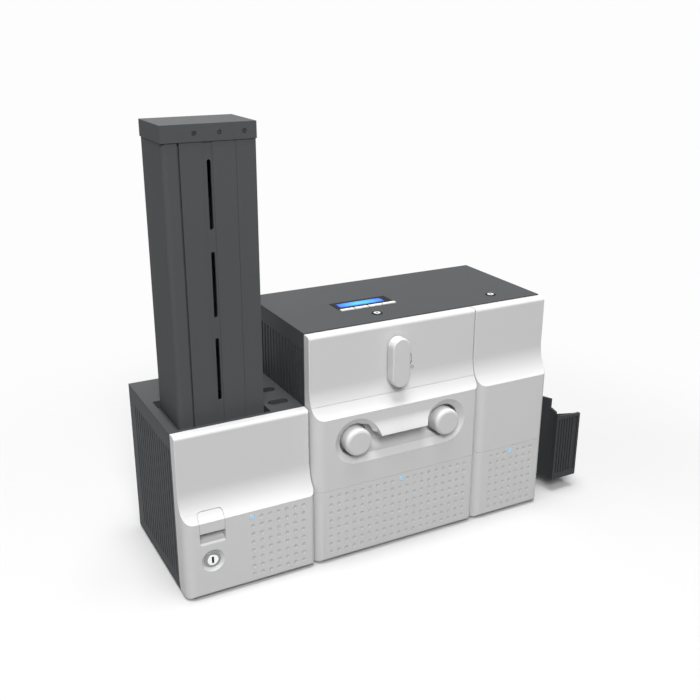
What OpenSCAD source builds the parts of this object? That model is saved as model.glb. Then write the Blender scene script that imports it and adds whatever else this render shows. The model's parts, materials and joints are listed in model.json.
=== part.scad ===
// Modular identity-card printer: a card hopper with its tall magazine, a printer with a
// pull-out ribbon cassette, a card flipper and an output stacker, standing side by side.
// Inside the file x runs from the hopper's left wall, y from the front of the dark body
// towards the back and z from the underside of the base trays; place() moves it all to the
// part's own frame, with its origin under the middle of the bounding box.

/* [Modules] */
// Width of the bench beside the magazine, with its finger recesses
bench_w = 37; // [34:0.5:50]
// Room in the printer to the left of the cassette
cassette_left = 23; // [20:0.5:32]
// Room in the printer to the right of the cassette
cassette_right = 17; // [15:0.5:26]
// Room between the flipper's drum and its casing, on each side
drum_side = 7.5; // [6.5:0.25:12]
// Gap between neighbouring modules
module_gap = 1; // [0.6:0.1:2]
// Depth of the casing behind the cards, for the motors and the sockets
rear_space = 70.7; // [66:0.1:90]
// Height of the hopper's body
hopper_h = 186; // [182:1:195]
// Height of the upper face above the sweep
upper_flat = 62.4; // [60:0.2:80]
// Height of the rubber feet
foot_h = 3; // [2:0.5:8]
// Radius of the rubber feet
foot_r = 9; // [6:0.5:12]

/* [Casing] */
// Thickness of the dark casing's walls
wall = 3; // [2:0.5:4]
// Thickness of the base trays
base_t = 4; // [3:0.5:6]
// Distance from one vent slot to the next
vent_pitch = 8.2; // [7:0.1:12]
// Width of a vent slot
vent_w = 3; // [2:0.25:4]
// Plain band above the vent slots
vent_band = 20; // [15:1:30]
// Height of the lowest point of the vent slots
vent_foot = 14; // [10:1:40]
// Radius of the fan opening in the back wall
fan_r = 26; // [18:1:32]

/* [White fronts] */
// How far the upper faces stand in front of the dark body
face_out = 12; // [10:0.5:14]
// How far the lower faces stand in front of the dark body
step_out = 26.3; // [24:0.1:30]
// Wall thickness of the moulded fronts
panel_wall = 3; // [2:0.5:3.5]
// Height of the concave sweep that joins the upper face to the lower one
sweep_h = 32; // [26:1:36]
// Height of the hopper's crisp edge, and of the joint above the lower panels
step_z = 89; // [85:1:92]
// Height of the printer's crisp edge above the spools' axes
brow_h = 32.4; // [31:0.2:36]
// Height of the joint above the cassette over that crisp edge
joint_rise = 13.4; // [11:0.2:16]
// Gap between white fronts that lie one above the other
seam = 0.4; // [0.35:0.05:1]
// Radius of the left-hand corner of the lower faces, seen from above
corner_r = 12; // [8:1:14]
// Radius of the right-hand corner of the lower faces
right_corner_r = 6; // [3:0.5:12]
// Corner radius of the upper faces
upper_corner_r = 1.2; // [0.8:0.1:4]
// Rounding of the top and bottom edges
edge_r = 4; // [2:0.5:6]
// How far the fronts stop below the dark top
top_drop = 1; // [0.5:0.1:2]

/* [Card path] */
// Height of the card path above the underside of the trays
path_z = 104; // [102:0.5:106]
// Length of a card
card_l = 85.6; // [80:0.1:88]
// Width of a card
card_w = 54; // [50:0.1:56]
// Distance of the card's middle line from the front of the body
path_y = 55.3; // [54:0.1:57]

/* [Magazine] */
// Distance of the magazine from the hopper's left wall
mag_x = 17.4; // [15:0.1:20]
// Room between the cards and the magazine's walls
card_gap = 1.6; // [1:0.1:3]
// Wall thickness of the magazine
mag_wall = 4; // [3:0.25:4.5]
// Height at which the magazine's body ends under its cap
mag_top = 474; // [400:1:520]
// Height of the cap
cap_h = 17; // [12:0.5:25]
// How far the cap overhangs the body
cap_over = 1; // [0.6:0.1:2]
// Width of the sight slots
sight_w = 4.2; // [3:0.1:6]
// Length of a sight slot
sight_l = 70; // [50:1:80]
// Distance from one sight slot to the next
sight_pitch = 92.2; // [86:0.2:100]
// How far the middle sight slot lies below the cap
sight_drop = 144.7; // [138:0.1:150]
// Height of the stack of cards
stack_h = 60; // [20:1:66]
// Height of the weight that rests on the cards
weight_h = 24; // [16:1:26]

/* [Cassette] */
// Distance from the middle of the cassette to each knob
spool_x = 58.5; // [57:0.5:60]
// Height of the spools' axes above the card path
spool_rise = 39.2; // [38:0.2:42]
// Room from a spool's axis to the end of the cassette
roll_side = 28.5; // [28:0.5:32]
// Radius of a knob
knob_r = 16; // [14:0.5:17]
// Rounding of a knob's front edge
knob_round = 3.5; // [2:0.5:4]
// How far a knob's face stands in front of the dark body
knob_out = 33; // [33:0.5:38]
// Radius of the hole round a knob
knob_hole_r = 19.5; // [18:0.5:21]
// Radius of the dish round a knob
dish_r = 27.3; // [26:0.1:28]
// Depth of the dish
dish_d = 5; // [3:0.5:8]
// How far the pull lip stands out of the cassette's face
lip_out = 6.6; // [3:0.2:6.6]
// Radius of the full ribbon roll
ribbon_r = 20; // [16:0.5:21]
// Radius of the used ribbon roll
used_r = 14; // [12:0.5:20]
// Radius of the spools' shafts
shaft_r = 4; // [3:0.25:4.5]

/* [Head] */
// Half the height of the lever
lever_l = 28.9; // [26:0.5:29]
// Radius of the lever's round ends
lever_r = 11.1; // [9:0.1:12]
// Height of the lever's axis above the crisp edge
lever_rise = 50.1; // [48:0.1:56]
// How far the lever lowers the print head
head_drop = 11; // [8:0.5:11]
// Radius of the lever's shaft
lever_shaft_r = 5; // [4:0.25:6]

/* [Controls] */
// Width of the display bezel
bezel_w = 74; // [70:0.5:80]
// Depth of the display bezel
bezel_d = 23.5; // [22:0.5:25]
// Width of one button
button_w = 17.1; // [14:0.1:17.2]
// Depth of one button
button_d = 4.6; // [4:0.2:6]
// Gap between neighbouring buttons
button_gap = 1.2; // [0.6:0.1:1.3]
// How far a button stands out of the cover and can be pressed
button_travel = 0.8; // [0.4:0.1:1]
// Radius of the door lock's plug
plug_r = 6.1; // [5:0.1:6.5]
// Radius of the door lock's barrel
barrel_r = 8.5; // [8:0.25:9]
// Radius of the cover locks' plugs
cover_plug_r = 3.9; // [3.4:0.1:4.4]
// Radius of the cover locks' barrels
cover_barrel_r = 5.6; // [5:0.1:7]

/* [Stacker] */
// Distance of the stacker's ribbed front from the flipper
stacker_gap = 34; // [28:1:40]
// Width of the ribbed front
stacker_w = 38; // [34:1:50]
// Height of the stacker's underside
stacker_z = 15; // [5:1:30]
// Height of the ribbed front at its right-hand side
stacker_low = 103; // [99:1:106]
// Rise of the ribbed front's top towards its left-hand corner
corner_rise = 6; // [3:0.5:9]
// Height of the guard beside the flipper above the ribbed front
guard_rise = 22; // [18:1:26]
// Distance from one rib to the next
rib_pitch = 4.3; // [3.5:0.1:6]

/* [Hidden] */
$fn = 48;
eps = 0.01;
fit = 0.05;      // running clearance of a shaft in its bore
slip = 0.4;      // clearance of a sliding or lifting piece
white = "#c9cacb";
dark = "#4b4d50";
black = "#2a2b2d";
steel = "#a8abaf";
rubber = "#1f1f20";

mag_w = card_l + 2 * (mag_wall + card_gap);
mag_d = card_w + 2 * (mag_wall + card_gap);
mag_y = path_y - mag_d / 2;
mag_back = mag_y + mag_d;
mag_right = mag_x + mag_w;
well_gap = 0.8;
well_r = mag_right + well_gap;
well_b = mag_back + well_gap;
hopper_w = well_r + bench_w;
printer_x = hopper_w + module_gap;
cassette_x = printer_x + cassette_left + spool_x + roll_side;
cassette_l = cassette_x - spool_x - roll_side;
cassette_r = cassette_x + spool_x + roll_side;
printer_w = cassette_r + cassette_right - printer_x;
flipper_x = printer_x + printer_w + module_gap;
drum_r = card_l / 2 + 0.2;
drum_x = flipper_x + drum_r + drum_side;
flipper_w = 2 * (drum_r + drum_side);
row_w = flipper_x + flipper_w;
card_y0 = path_y - card_w / 2;
card_y1 = path_y + card_w / 2;
body_d = card_y1 + rear_space;
spool_z = path_z + spool_rise;
ledge_z = spool_z + brow_h;
joint_z = ledge_z + joint_rise;
printer_h = ledge_z + sweep_h + upper_flat;
lever_x = cassette_x - 2.8;
lever_z = ledge_z + lever_rise;
hinge_r = 4;
hinge_y = body_d + 4.5;
hinge_z = printer_h - 6.3;
hinge_pin_r = 1.8;
x_hi = row_w + stacker_gap + stacker_w;
y_hi = hinge_y + hinge_r;
y_lo = -knob_out;
front_top = printer_h - top_drop;
case_top = printer_h - wall;
deck_t = 3;

module place() translate([-x_hi / 2, -(y_lo + y_hi) / 2, foot_h]) children();

// A box from its lowest corner to its highest
module block(lo, hi) translate(lo) cube(hi - lo);
// Round bars along each axis, given by a point on the axis and the far end's coordinate
module bar_x(x0, x1, y, z, r) translate([x0, y, z]) rotate([0, 90, 0]) cylinder(r = r, h = x1 - x0);
module bar_y(x, y0, y1, z, r) translate([x, y0, z]) rotate([-90, 0, 0]) cylinder(r = r, h = y1 - y0);
module bar_z(x, y, z0, z1, r) translate([x, y, z0]) cylinder(r = r, h = z1 - z0);
// A cone along y, from radius ra at y0 to rb at y1
module cone_y(x, y0, y1, z, ra, rb)
    translate([x, y0, z]) rotate([-90, 0, 0]) cylinder(r1 = ra, r2 = rb, h = y1 - y0);
// A flat outline of [y, z] points carried along x
module along_x(x0, x1, points)
    translate([x0, 0, 0]) rotate([90, 0, 90]) linear_extrude(x1 - x0) polygon(points);

// A flat outline of [x, z] points carried along y
module along_y(y0, y1, points)
    translate([0, y1, 0]) rotate([90, 0, 0]) linear_extrude(y1 - y0) polygon(points);

// ---- White fronts ---------------------------------------------------------------

// Radius of the sweep, from its rise and its run
sweep_run = step_out - face_out;
sweep_r = (sweep_run * sweep_run + sweep_h * sweep_h) / (2 * sweep_run);
function arc(cy, cz, r, a0, a1, n) =
    [for (i = [0:n]) let (a = a0 + (a1 - a0) * i / n) [cy + r * cos(a), cz + r * sin(a)]];
// Depth of the sweep's surface at height z
function sweep_y(z, edge_z) = let (dz = z - edge_z - sweep_h)
    -face_out - sweep_r + sqrt(sweep_r * sweep_r - dz * dz);
// Rectangle in x and z with its two lower and its two upper corners rounded
function rounded(x0, x1, z0, z1, low_r, top_r) = concat(
    arc(x0 + top_r, z1 - top_r, top_r, 180, 90, 4),
    arc(x1 - top_r, z1 - top_r, top_r, 90, 0, 4),
    arc(x1 - low_r, z0 + low_r, low_r, 360, 270, 4),
    arc(x0 + low_r, z0 + low_r, low_r, 270, 180, 4)
);

// Side outline of a front from the base to its top, moved inwards by inset
function outline(edge_z, top_z, inset, back) = let (
        fy = -face_out + inset,
        sy = -step_out + inset,
        cy = -face_out - sweep_r,
        cz = edge_z + sweep_h,
        r = sweep_r + inset,
        low = -acos((sy - cy) / r),
        round_r = max(edge_r - inset, 0.5)
    ) concat(
        [[back, inset]],
        arc(sy + round_r, inset + round_r, round_r, 270, 180, 4),
        arc(cy, cz, r, low, 0, 10),
        arc(fy + round_r, top_z - inset - round_r, round_r, 180, 90, 4),
        [[back, top_z - inset]]
    );

// Plan of a front with its two front corners rounded
function plan(x0, x1, front, back, left_r, right_r) = concat(
    [[x1, back], [x0, back]],
    arc(x0 + left_r, front + left_r, left_r, 180, 270, 6),
    arc(x1 - right_r, front + right_r, right_r, 270, 360, 5)
);

module front_block(x, w, edge_z, top_z, z0, z1, inset, back) {
    cz = edge_z + sweep_h;
    upper_r = max(upper_corner_r - inset, 0.5);
    intersection() {
        along_x(x, x + w, outline(edge_z, top_z, inset, back));
        union() {
            translate([0, 0, -1]) linear_extrude(cz + 1)
                polygon(plan(x + inset, x + w - inset, -step_out + inset, back,
                             max(corner_r - inset, 1), max(right_corner_r - inset, 1)));
            translate([0, 0, cz - eps]) linear_extrude(top_z - cz + 1)
                polygon(plan(x + inset, x + w - inset, -face_out + inset, back, upper_r, upper_r));
        }
        block([x - 1, -step_out - 1, z0 + inset], [x + w + 1, back + 1, z1 - inset]);
    }
}

module front_shell(x, w, edge_z, top_z, z0, z1) difference() {
    front_block(x, w, edge_z, top_z, z0, z1, 0, 0);
    front_block(x, w, edge_z, top_z, z0, z1, panel_wall, 1);
}

// ---- Hopper ------------------------------------------------------------------------

pivot_y = -step_out + 9;
pivot_z = 9;
pivot_r = 2;
arm_w = 4;
arm_in = 9;
boss_r = 5;
latch_x = 17.5;
latch_w = 28;
latch_low = step_z - 12.3;
latch_top = step_z + 9.5;
latch_corner = 4;
latch_gap = 0.3;
latch_rise = 0.8;
latch_axis_z = latch_top - 2.5;
latch_axis_y = sweep_y(latch_axis_z, step_z) + 4.6;
latch_pin_r = 1.2;
pocket_low = step_z - 27;
pocket_corner = 3;
pocket_sill = 2.5;
pocket_run = 14.8;
pocket_wall = 2;
door_lock_x = 30.7;
door_lock_z = pocket_low - 20.2;
lock_flange_r = 9.6;
lock_dish = 3;
led_side = 5;
hopper_led_x = 76.7;
led_z = step_z - 7;
well_l = 9;
well_f = 5;
well_step = 9;
liner = 2;
seat_z = path_z - 3;
recess_x = well_r + bench_w / 2 - 1.2;
recess_half = 11.8;
recess_r = 6;
recess_depth = 12;
recess_ys = [25.4, 62.2];
keeper_x = door_lock_x + 11;
lug_ys = [40, 100];

module tray(x, w) difference() {
    block([x, 0, 0], [x + w, body_d, base_t + 6]);
    block([x + wall, wall, base_t], [x + w - wall, body_d - wall, base_t + 7]);
}

module base_trays() place() color(dark) {
    difference() {
        union() {
            tray(0, hopper_w);
            for (x = [arm_in, hopper_w - arm_in - arm_w]) hinge_arm(x);
            // keeper that the door lock's cam turns behind
            block([keeper_x, 0, base_t], [keeper_x + 8, wall, door_lock_z + 5]);
            block([keeper_x, cam_y - 4, door_lock_z - 6], [keeper_x + 8, eps, door_lock_z + 5]);
            // docking lugs between the hopper and the printer
            for (y = lug_ys) block([hopper_w - wall, y, 2], [printer_x + wall, y + 16, 8]);
        }
        block([keeper_x - 1, cam_y - 1, door_lock_z - 7], [keeper_x + 6, cam_y + 3.4, door_lock_z + 6]);
        for (x = [arm_in, hopper_w - arm_in - arm_w])
            bar_x(x - 1, x + arm_w + 1, pivot_y, pivot_z, pivot_r + fit);
    }
    tray(printer_x, printer_w + module_gap + flipper_w);
}

module hinge_arm(x) {
    block([x, pivot_y, pivot_z - boss_r], [x + arm_w, eps, pivot_z + 1]);
    bar_x(x, x + arm_w, pivot_y, pivot_z, boss_r);
}

module feet() place() color(rubber)
    for (m = [[0, hopper_w], [printer_x, printer_w], [flipper_x, flipper_w]])
        for (x = [m[0] + 16, m[0] + m[1] - 16])
            for (y = [18, body_d - 18])
                bar_z(x, y, -foot_h, 0, foot_r);

module vent_row(x, z0, z1) {
    count = floor((body_d - 16) / vent_pitch);
    for (i = [0:count - 1])
        block([x - 1, 6 + i * vent_pitch, z0], [x + wall + 1, 6 + i * vent_pitch + vent_w, z1]);
}

module hopper_case() place() color(dark) difference() {
    top = hopper_h - deck_t;
    z0 = base_t + 6;
    block([0, 0, z0], [hopper_w, body_d, top]);
    block([wall, -1, z0 - 1], [hopper_w - wall, body_d - wall, top + 1]);
    vent_row(0, vent_foot, hopper_h - vent_band);
    block([hopper_w - wall - 1, card_y0 - 3, path_z - 3], [hopper_w + 1, card_y1 + 3, path_z + 3]);
}

module stadium(x, y, half, r, z0, z1) {
    bar_z(x - half + r, y, z0, z1, r);
    bar_z(x + half - r, y, z0, z1, r);
    block([x - half + r, y - r, z0], [x + half - r, y + r, z1]);
}

// Deck with the well that holds the magazine's foot: a shallow tray, then a close-fitting shaft
module hopper_deck() place() color(dark) {
    top = hopper_h;
    shaft_l = mag_x - slip;
    shaft_f = mag_y - slip;
    cup_z = top - recess_depth - 2;
    difference() {
        union() {
            block([0, 0.3, top - deck_t], [hopper_w, body_d, top]);
            block([well_l - liner, well_f - liner, top - well_step - liner],
                  [well_r + liner, well_b + liner, top]);
            block([shaft_l - liner, shaft_f - liner, seat_z - liner],
                  [well_r + liner, well_b + liner, top]);
            for (y = recess_ys) stadium(recess_x, y, recess_half + 1.5, recess_r + 1.5, cup_z, top);
        }
        block([well_l, well_f, top - well_step], [well_r, well_b, top + 1]);
        block([shaft_l, shaft_f, seat_z], [well_r, well_b, top + 1]);
        for (y = recess_ys)
            stadium(recess_x, y, recess_half, recess_r, top - recess_depth, top + 1);
        // the pick roller reaches the cards through the floor of the well
        block([mag_x + 20, path_y - 22, seat_z - liner - 1], [mag_x + 74, path_y + 22, seat_z + 1]);
        // the cards leave to the right
        block([well_r - 1, card_y0 - 2, seat_z + 1.2], [well_r + liner + 1, card_y1 + 2, seat_z + 5.5]);
    }
}

// Side profile of the finger pocket: a rounded sill, then a floor that curves up to the back
pocket_y = -step_out + pocket_sill;
pocket_mid = pocket_low + pocket_sill + pocket_run;
window = [latch_x - latch_gap, latch_x + latch_w + latch_gap];
module pocket_space() intersection() {
    along_x(window[0] - 1, window[1] + 1, concat(
        [[-step_out - 1, pocket_low]],
        arc(pocket_y, pocket_low, pocket_sill, 180, 90, 4),
        arc(pocket_y, pocket_mid, pocket_run, 276, 360, 7),
        [[pocket_y + pocket_run, latch_top + 9], [-step_out - 1, latch_top + 9]]));
    along_y(-step_out - 2, 0, rounded(window[0], window[1], pocket_low, latch_top + latch_rise,
                                      pocket_corner, latch_corner + latch_gap));
}

module pocket_liner() intersection() {
    front_block(0, hopper_w, step_z, hopper_h, 0, hopper_h, 0.8, 0);
    along_x(window[0] - pocket_wall, window[1] + pocket_wall, concat(
        [[-step_out, pocket_low - pocket_wall], [pocket_y, pocket_low - pocket_wall]],
        arc(pocket_y, pocket_mid, pocket_run + pocket_wall, 276, 360, 7),
        [[pocket_y + pocket_run + pocket_wall, latch_top + latch_rise + pocket_wall],
         [-step_out, latch_top + latch_rise + pocket_wall]]));
}

module hopper_door() place() color(white) difference() {
    union() {
        difference() {
            front_shell(0, hopper_w, step_z, hopper_h, 0, hopper_h);
            // the corner behind the pivot swings clear of the body
            difference() {
                block([-1, pivot_y, -1], [hopper_w + 1, 1, pivot_z]);
                bar_x(-2, hopper_w + 2, pivot_y, pivot_z, -pivot_y - 0.3);
            }
            led_window(hopper_led_x);
            for (x = [arm_in, hopper_w - arm_in - arm_w])
                block([x - 0.5, -step_out + panel_wall, -1],
                      [x + arm_w + 0.5, 1, panel_wall + eps]);
        }
        pocket_liner();
        // bosses for the hinge pins
        for (x = [panel_wall - eps, hopper_w - arm_in + 1])
            bar_x(x, x + arm_in - 1 - panel_wall, pivot_y, pivot_z, boss_r);
        // seat of the lock barrel
        bar_y(door_lock_x, -step_out + 1.5, -step_out + 8, door_lock_z, lock_flange_r + 2);
    }
    pocket_space();
    cone_y(door_lock_x, -step_out - eps, -step_out + lock_dish, door_lock_z, lock_flange_r + 3.5,
           lock_flange_r);
    bar_y(door_lock_x, -step_out - 1, 0, door_lock_z, barrel_r + fit);
    bar_x(panel_wall + 1, arm_in, pivot_y, pivot_z, pivot_r + fit);
    bar_x(hopper_w - arm_in, hopper_w - panel_wall - 1, pivot_y, pivot_z, pivot_r + fit);
    bar_x(window[0] - pocket_wall - 1, window[1] + pocket_wall + 1, latch_axis_y, latch_axis_z,
          latch_pin_r + fit);
}

module led_window(x)
    block([x - led_side / 2 - 0.2, -step_out - 1, led_z - led_side / 2 - 0.2],
          [x + led_side / 2 + 0.2, 0, led_z + led_side / 2 + 0.2]);

// Pins of the bottom-hinged hopper door and of the rear-hinged top cover
cover_hinges = [printer_x + 60, flipper_x + 10];
hinge_l = 30;
hinge_gap = 8;
module hinge_pins() place() color(steel) {
    bar_x(panel_wall + 1.2, arm_in + arm_w, pivot_y, pivot_z, pivot_r);
    bar_x(hopper_w - arm_in - arm_w, hopper_w - panel_wall - 1.2, pivot_y, pivot_z, pivot_r);
    for (x = cover_hinges) bar_x(x - 1, x + hinge_l + 1, hinge_y, hinge_z, hinge_pin_r);
}

// Paddle that follows the door's face over the crisp edge and turns on two trunnions
module door_latch() place() color(white) {
    x0 = latch_x;
    x1 = latch_x + latch_w;
    reach = latch_gap + 1.5;
    difference() {
        intersection() {
            front_block(0, hopper_w, step_z, hopper_h, 0, hopper_h, 0, 0);
            along_y(-step_out - 1, pocket_y + pocket_run - 1,
                    rounded(x0, x1, latch_low, latch_top, 0.4, latch_corner));
        }
        front_block(0, hopper_w, step_z, hopper_h, latch_low - 9, latch_top + 9, 2.6, 0);
    }
    bar_x(x0 - reach, x1 + reach, latch_axis_y, latch_axis_z, latch_pin_r);
    for (x = [x0 + 4, x1 - 7])
        block([x, latch_axis_y - 3.2, latch_axis_z - 5], [x + 3, latch_axis_y + 1, latch_axis_z]);
}

module lock_barrel(flange_r, flange_t, depth, outer_r, inner_r) difference() {
    union() {
        translate([0, 0, -flange_t]) cylinder(r = flange_r, h = flange_t);
        cylinder(r = outer_r, h = depth);
    }
    translate([0, 0, -flange_t - 1]) cylinder(r = inner_r + fit, h = depth + flange_t + 2);
}

// Plug with its keyway in front and its cam behind
module lock_plug(r, proud, depth, cam_l) {
    key_w = 0.4 * r;
    key_h = 1.25 * r;
    cam_r = 4;
    difference() {
        translate([0, 0, -proud]) cylinder(r = r, h = depth + proud);
        translate([-key_w / 2, -key_h / 2, -proud - 1]) cube([key_w, key_h, 6]);
    }
    translate([0, 0, depth - eps]) {
        cylinder(r = cam_r, h = 2);
        translate([-cam_r, 0, 0]) cube([2 * cam_r, cam_l - cam_r, 2]);
        translate([0, cam_l - cam_r, 0]) cylinder(r = cam_r, h = 2);
    }
}

// Locks are drawn with z running into the object, then turned to face the front or the top
module on_door() translate([door_lock_x, -step_out + lock_dish, door_lock_z])
    rotate([-90, 0, 0]) children();
module on_cover(x) translate([x, lock_y, printer_h]) rotate([180, 0, 0]) children();
door_barrel = 14;
cam_y = -step_out + lock_dish + door_barrel + 0.5;
module door_lock_body() place() color(steel) on_door()
    lock_barrel(lock_flange_r - 0.3, 0.8, door_barrel, barrel_r, plug_r);
module door_lock_plug() place() color(steel) on_door() lock_plug(plug_r, 1.6, door_barrel + 0.5, 16);

module led(x) block([x - led_side / 2, -step_out - 0.3, led_z - led_side / 2],
                    [x + led_side / 2, -step_out + panel_wall + 1, led_z + led_side / 2]);
module hopper_led() place() color("#9fd2f5") led(hopper_led_x);

// ---- Card magazine -----------------------------------------------------------------

plate_t = 3;
plate_x = mag_x + 17.7;
groove_w = 1.8;
groove_x = mag_x + 75;
strip_l = mag_x + 40.8;
strip_r = mag_x + 51.2;
sight_x = mag_x + 47.2;
sight_mid = mag_top - sight_drop;
foot_z = seat_z + 0.3;
floor_t = 2;
stack_z = foot_z + floor_t;
cap_screw_xs = [mag_x + 33.2, mag_x + 58.9, mag_x + 84.9];
cap_screw_z = mag_top + 8;
cap_wall = 3;
tab_t = 2.5;
tab_y = mag_y - cap_over + cap_wall + 0.1;
tab_x = [cap_screw_xs[0] - 6, cap_screw_xs[2] + 6];

module card_cartridge() place() color(dark) {
    inner_l = mag_x + mag_wall;
    inner_f = mag_y + mag_wall;
    inner_r = mag_right - mag_wall;
    difference() {
        translate([0, 0, foot_z]) linear_extrude(mag_top - foot_z)
            polygon(concat([[mag_right, mag_back], [mag_x, mag_back]],
                           arc(mag_x + 6, mag_y + 6, 6, 180, 270, 5), [[mag_right, mag_y]]));
        block([inner_l, inner_f, stack_z], [inner_r, mag_back - mag_wall, mag_top + 1]);
        // open front, with a tongue that backs the plate's left edge
        block([plate_x - groove_w, mag_y - 1, seat_z - 1], [mag_right + 1, mag_y + plate_t, mag_top + 1]);
        block([plate_x + 6, mag_y, stack_z], [inner_r, inner_f + 1, mag_top + 1]);
        // the pick roller comes up through the floor
        block([mag_x + 24, path_y - 19, seat_z - 1], [mag_x + 70, path_y + 19, seat_z + 4]);
        // one card at a time leaves to the right
        block([inner_r - 1, card_y0 - 1, stack_z], [mag_right + 1, card_y1 + 1, stack_z + 1.3]);
    }
}

module cartridge_front() place() color(dark) difference() {
    union() {
        block([plate_x, mag_y, foot_z], [mag_right, mag_y + plate_t, mag_top]);
        block([tab_x[0], tab_y, mag_top - 6], [tab_x[1], tab_y + tab_t, mag_top + 12]);
        block([tab_x[0], mag_y + plate_t - eps, mag_top - 6], [tab_x[1], tab_y + eps, mag_top]);
    }
    // shallow strip down the middle, with the sight slots in it
    block([strip_l, mag_y - 1, seat_z + 6], [strip_r, mag_y + 0.8, mag_top + 1]);
    block([groove_x, mag_y - 1, seat_z - 1], [groove_x + 0.8, mag_y + 0.5, mag_top + 1]);
    for (i = [-1:1])
        along_y(mag_y - 1, mag_y + plate_t + 1,
                rounded(sight_x - sight_w / 2, sight_x + sight_w / 2,
                        sight_mid + i * sight_pitch - sight_l / 2,
                        sight_mid + i * sight_pitch + sight_l / 2, sight_w / 2, sight_w / 2));
    for (x = cap_screw_xs) bar_y(x, tab_y - 1, tab_y + tab_t + 1, cap_screw_z, 1.25);
}

module cartridge_cap() place() color(dark) difference() {
    x0 = mag_x - cap_over;
    x1 = mag_right + cap_over;
    y0 = mag_y - cap_over;
    y1 = mag_back + cap_over;
    block([x0, y0, mag_top], [x1, y1, mag_top + cap_h]);
    block([x0 + cap_wall, y0 + cap_wall, mag_top - 1],
          [x1 - cap_wall, y1 - cap_wall, mag_top + cap_h - cap_wall]);
    for (x = cap_screw_xs) {
        bar_y(x, y0 - 1, y0 + 1.2, cap_screw_z, 2.4);
        bar_y(x, y0, y0 + cap_wall + 1, cap_screw_z, 1.3);
    }
}

module cap_screws() place() color(black) for (x = cap_screw_xs) difference() {
    union() {
        bar_y(x, mag_y - cap_over + 0.2, mag_y - cap_over + 1.2, cap_screw_z, 2.2);
        bar_y(x, mag_y - cap_over + 1, tab_y + tab_t + 1, cap_screw_z, 1.2);
    }
    bar_y(x, mag_y - cap_over - 1, mag_y - cap_over + 0.9, cap_screw_z, 0.9);
}

module card_stack() place() color("#e8e8e6")
    block([mag_x + mag_w / 2 - card_l / 2, card_y0, stack_z],
          [mag_x + mag_w / 2 + card_l / 2, card_y1, stack_z + stack_h]);

// Sledge that presses on the cards: a hollow box with guide shoes at its four corners
module card_weight() place() color(black) {
    x0 = mag_x + mag_w / 2 - card_l / 2 + 1;
    x1 = x0 + card_l - 2;
    y0 = card_y0 + 1;
    y1 = card_y1 - 1;
    z0 = stack_z + stack_h;
    difference() {
        block([x0, y0, z0], [x1, y1, z0 + weight_h]);
        block([x0 + 6, y0 + 6, z0 + 8], [x1 - 6, y1 - 6, z0 + weight_h + 1]);
    }
    block([(x0 + x1) / 2 - 3, y0 + 5, z0 + 7], [(x0 + x1) / 2 + 3, y1 - 5, z0 + weight_h - 2]);
}

roller_x = mag_x + 47;
pick_r = 12;
pick_z = stack_z - 0.3 - pick_r;
side_t = 3;
pick_l = card_y0 - 4;
pick_rear = card_y1 + 1;
module pick_frame() place() color(steel) difference() {
    union() {
        for (y = [pick_l, pick_rear])
            block([roller_x - 18, y, base_t], [roller_x + 18, y + side_t, pick_z + 7.5]);
        block([roller_x - 18, pick_l + side_t, base_t], [roller_x + 18, pick_rear + side_t, base_t + 3]);
    }
    bar_y(roller_x, pick_l - 9, pick_rear + 9, pick_z, shaft_r + fit);
    for (z = [30, 58]) bar_y(roller_x, pick_l - 9, pick_rear + 9, z, 10);
}

// A shaft with a rubber sleeve, carried at both ends
module pick_roller() place() color(rubber) {
    bar_y(roller_x, pick_l - 2, pick_rear + 14, pick_z, shaft_r);
    bar_y(roller_x, path_y - 15, path_y + 15, pick_z, pick_r);
}

motor_side = 38;
motor_l = 34;
motor_boss_r = 7;
// Square motor with a round boss that meets the frame at y0, and bevelled long edges
module motor(x, y, z, y0) difference() {
    union() {
        block([x - motor_side / 2, y, z - motor_side / 2],
              [x + motor_side / 2, y + motor_l, z + motor_side / 2]);
        bar_y(x, y0, y + 1, z, motor_boss_r);
    }
    bar_y(x, y0 - 1, y + 9, z, shaft_r + 0.3);
    for (dx = [-1, 1]) for (dz = [-1, 1])
        translate([x + dx * motor_side / 2, y - 1, z + dz * motor_side / 2]) rotate([0, 45, 0])
            translate([-3, 0, -3]) cube([6, motor_l + 2, 6]);
}

module motors() place() color(black) {
    motor(roller_x, well_b + liner + 1, pick_z, pick_rear + side_t);
    motor(platen_x, feed_motor_y, roller_z, feed_motor_y - 2);
    motor(drum_x, drum_rear + side_t + 4.5, path_z, drum_rear + side_t + 0.4);
}

// ---- Printer casing ---------------------------------------------------------------

hook_ys = [38, 78];
hook_z = 76;
rear_x = printer_x + 30;
socket_z = 32;
switch_x = rear_x + 38;
ports_x = rear_x + 130;
fan_z = 190;

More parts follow.
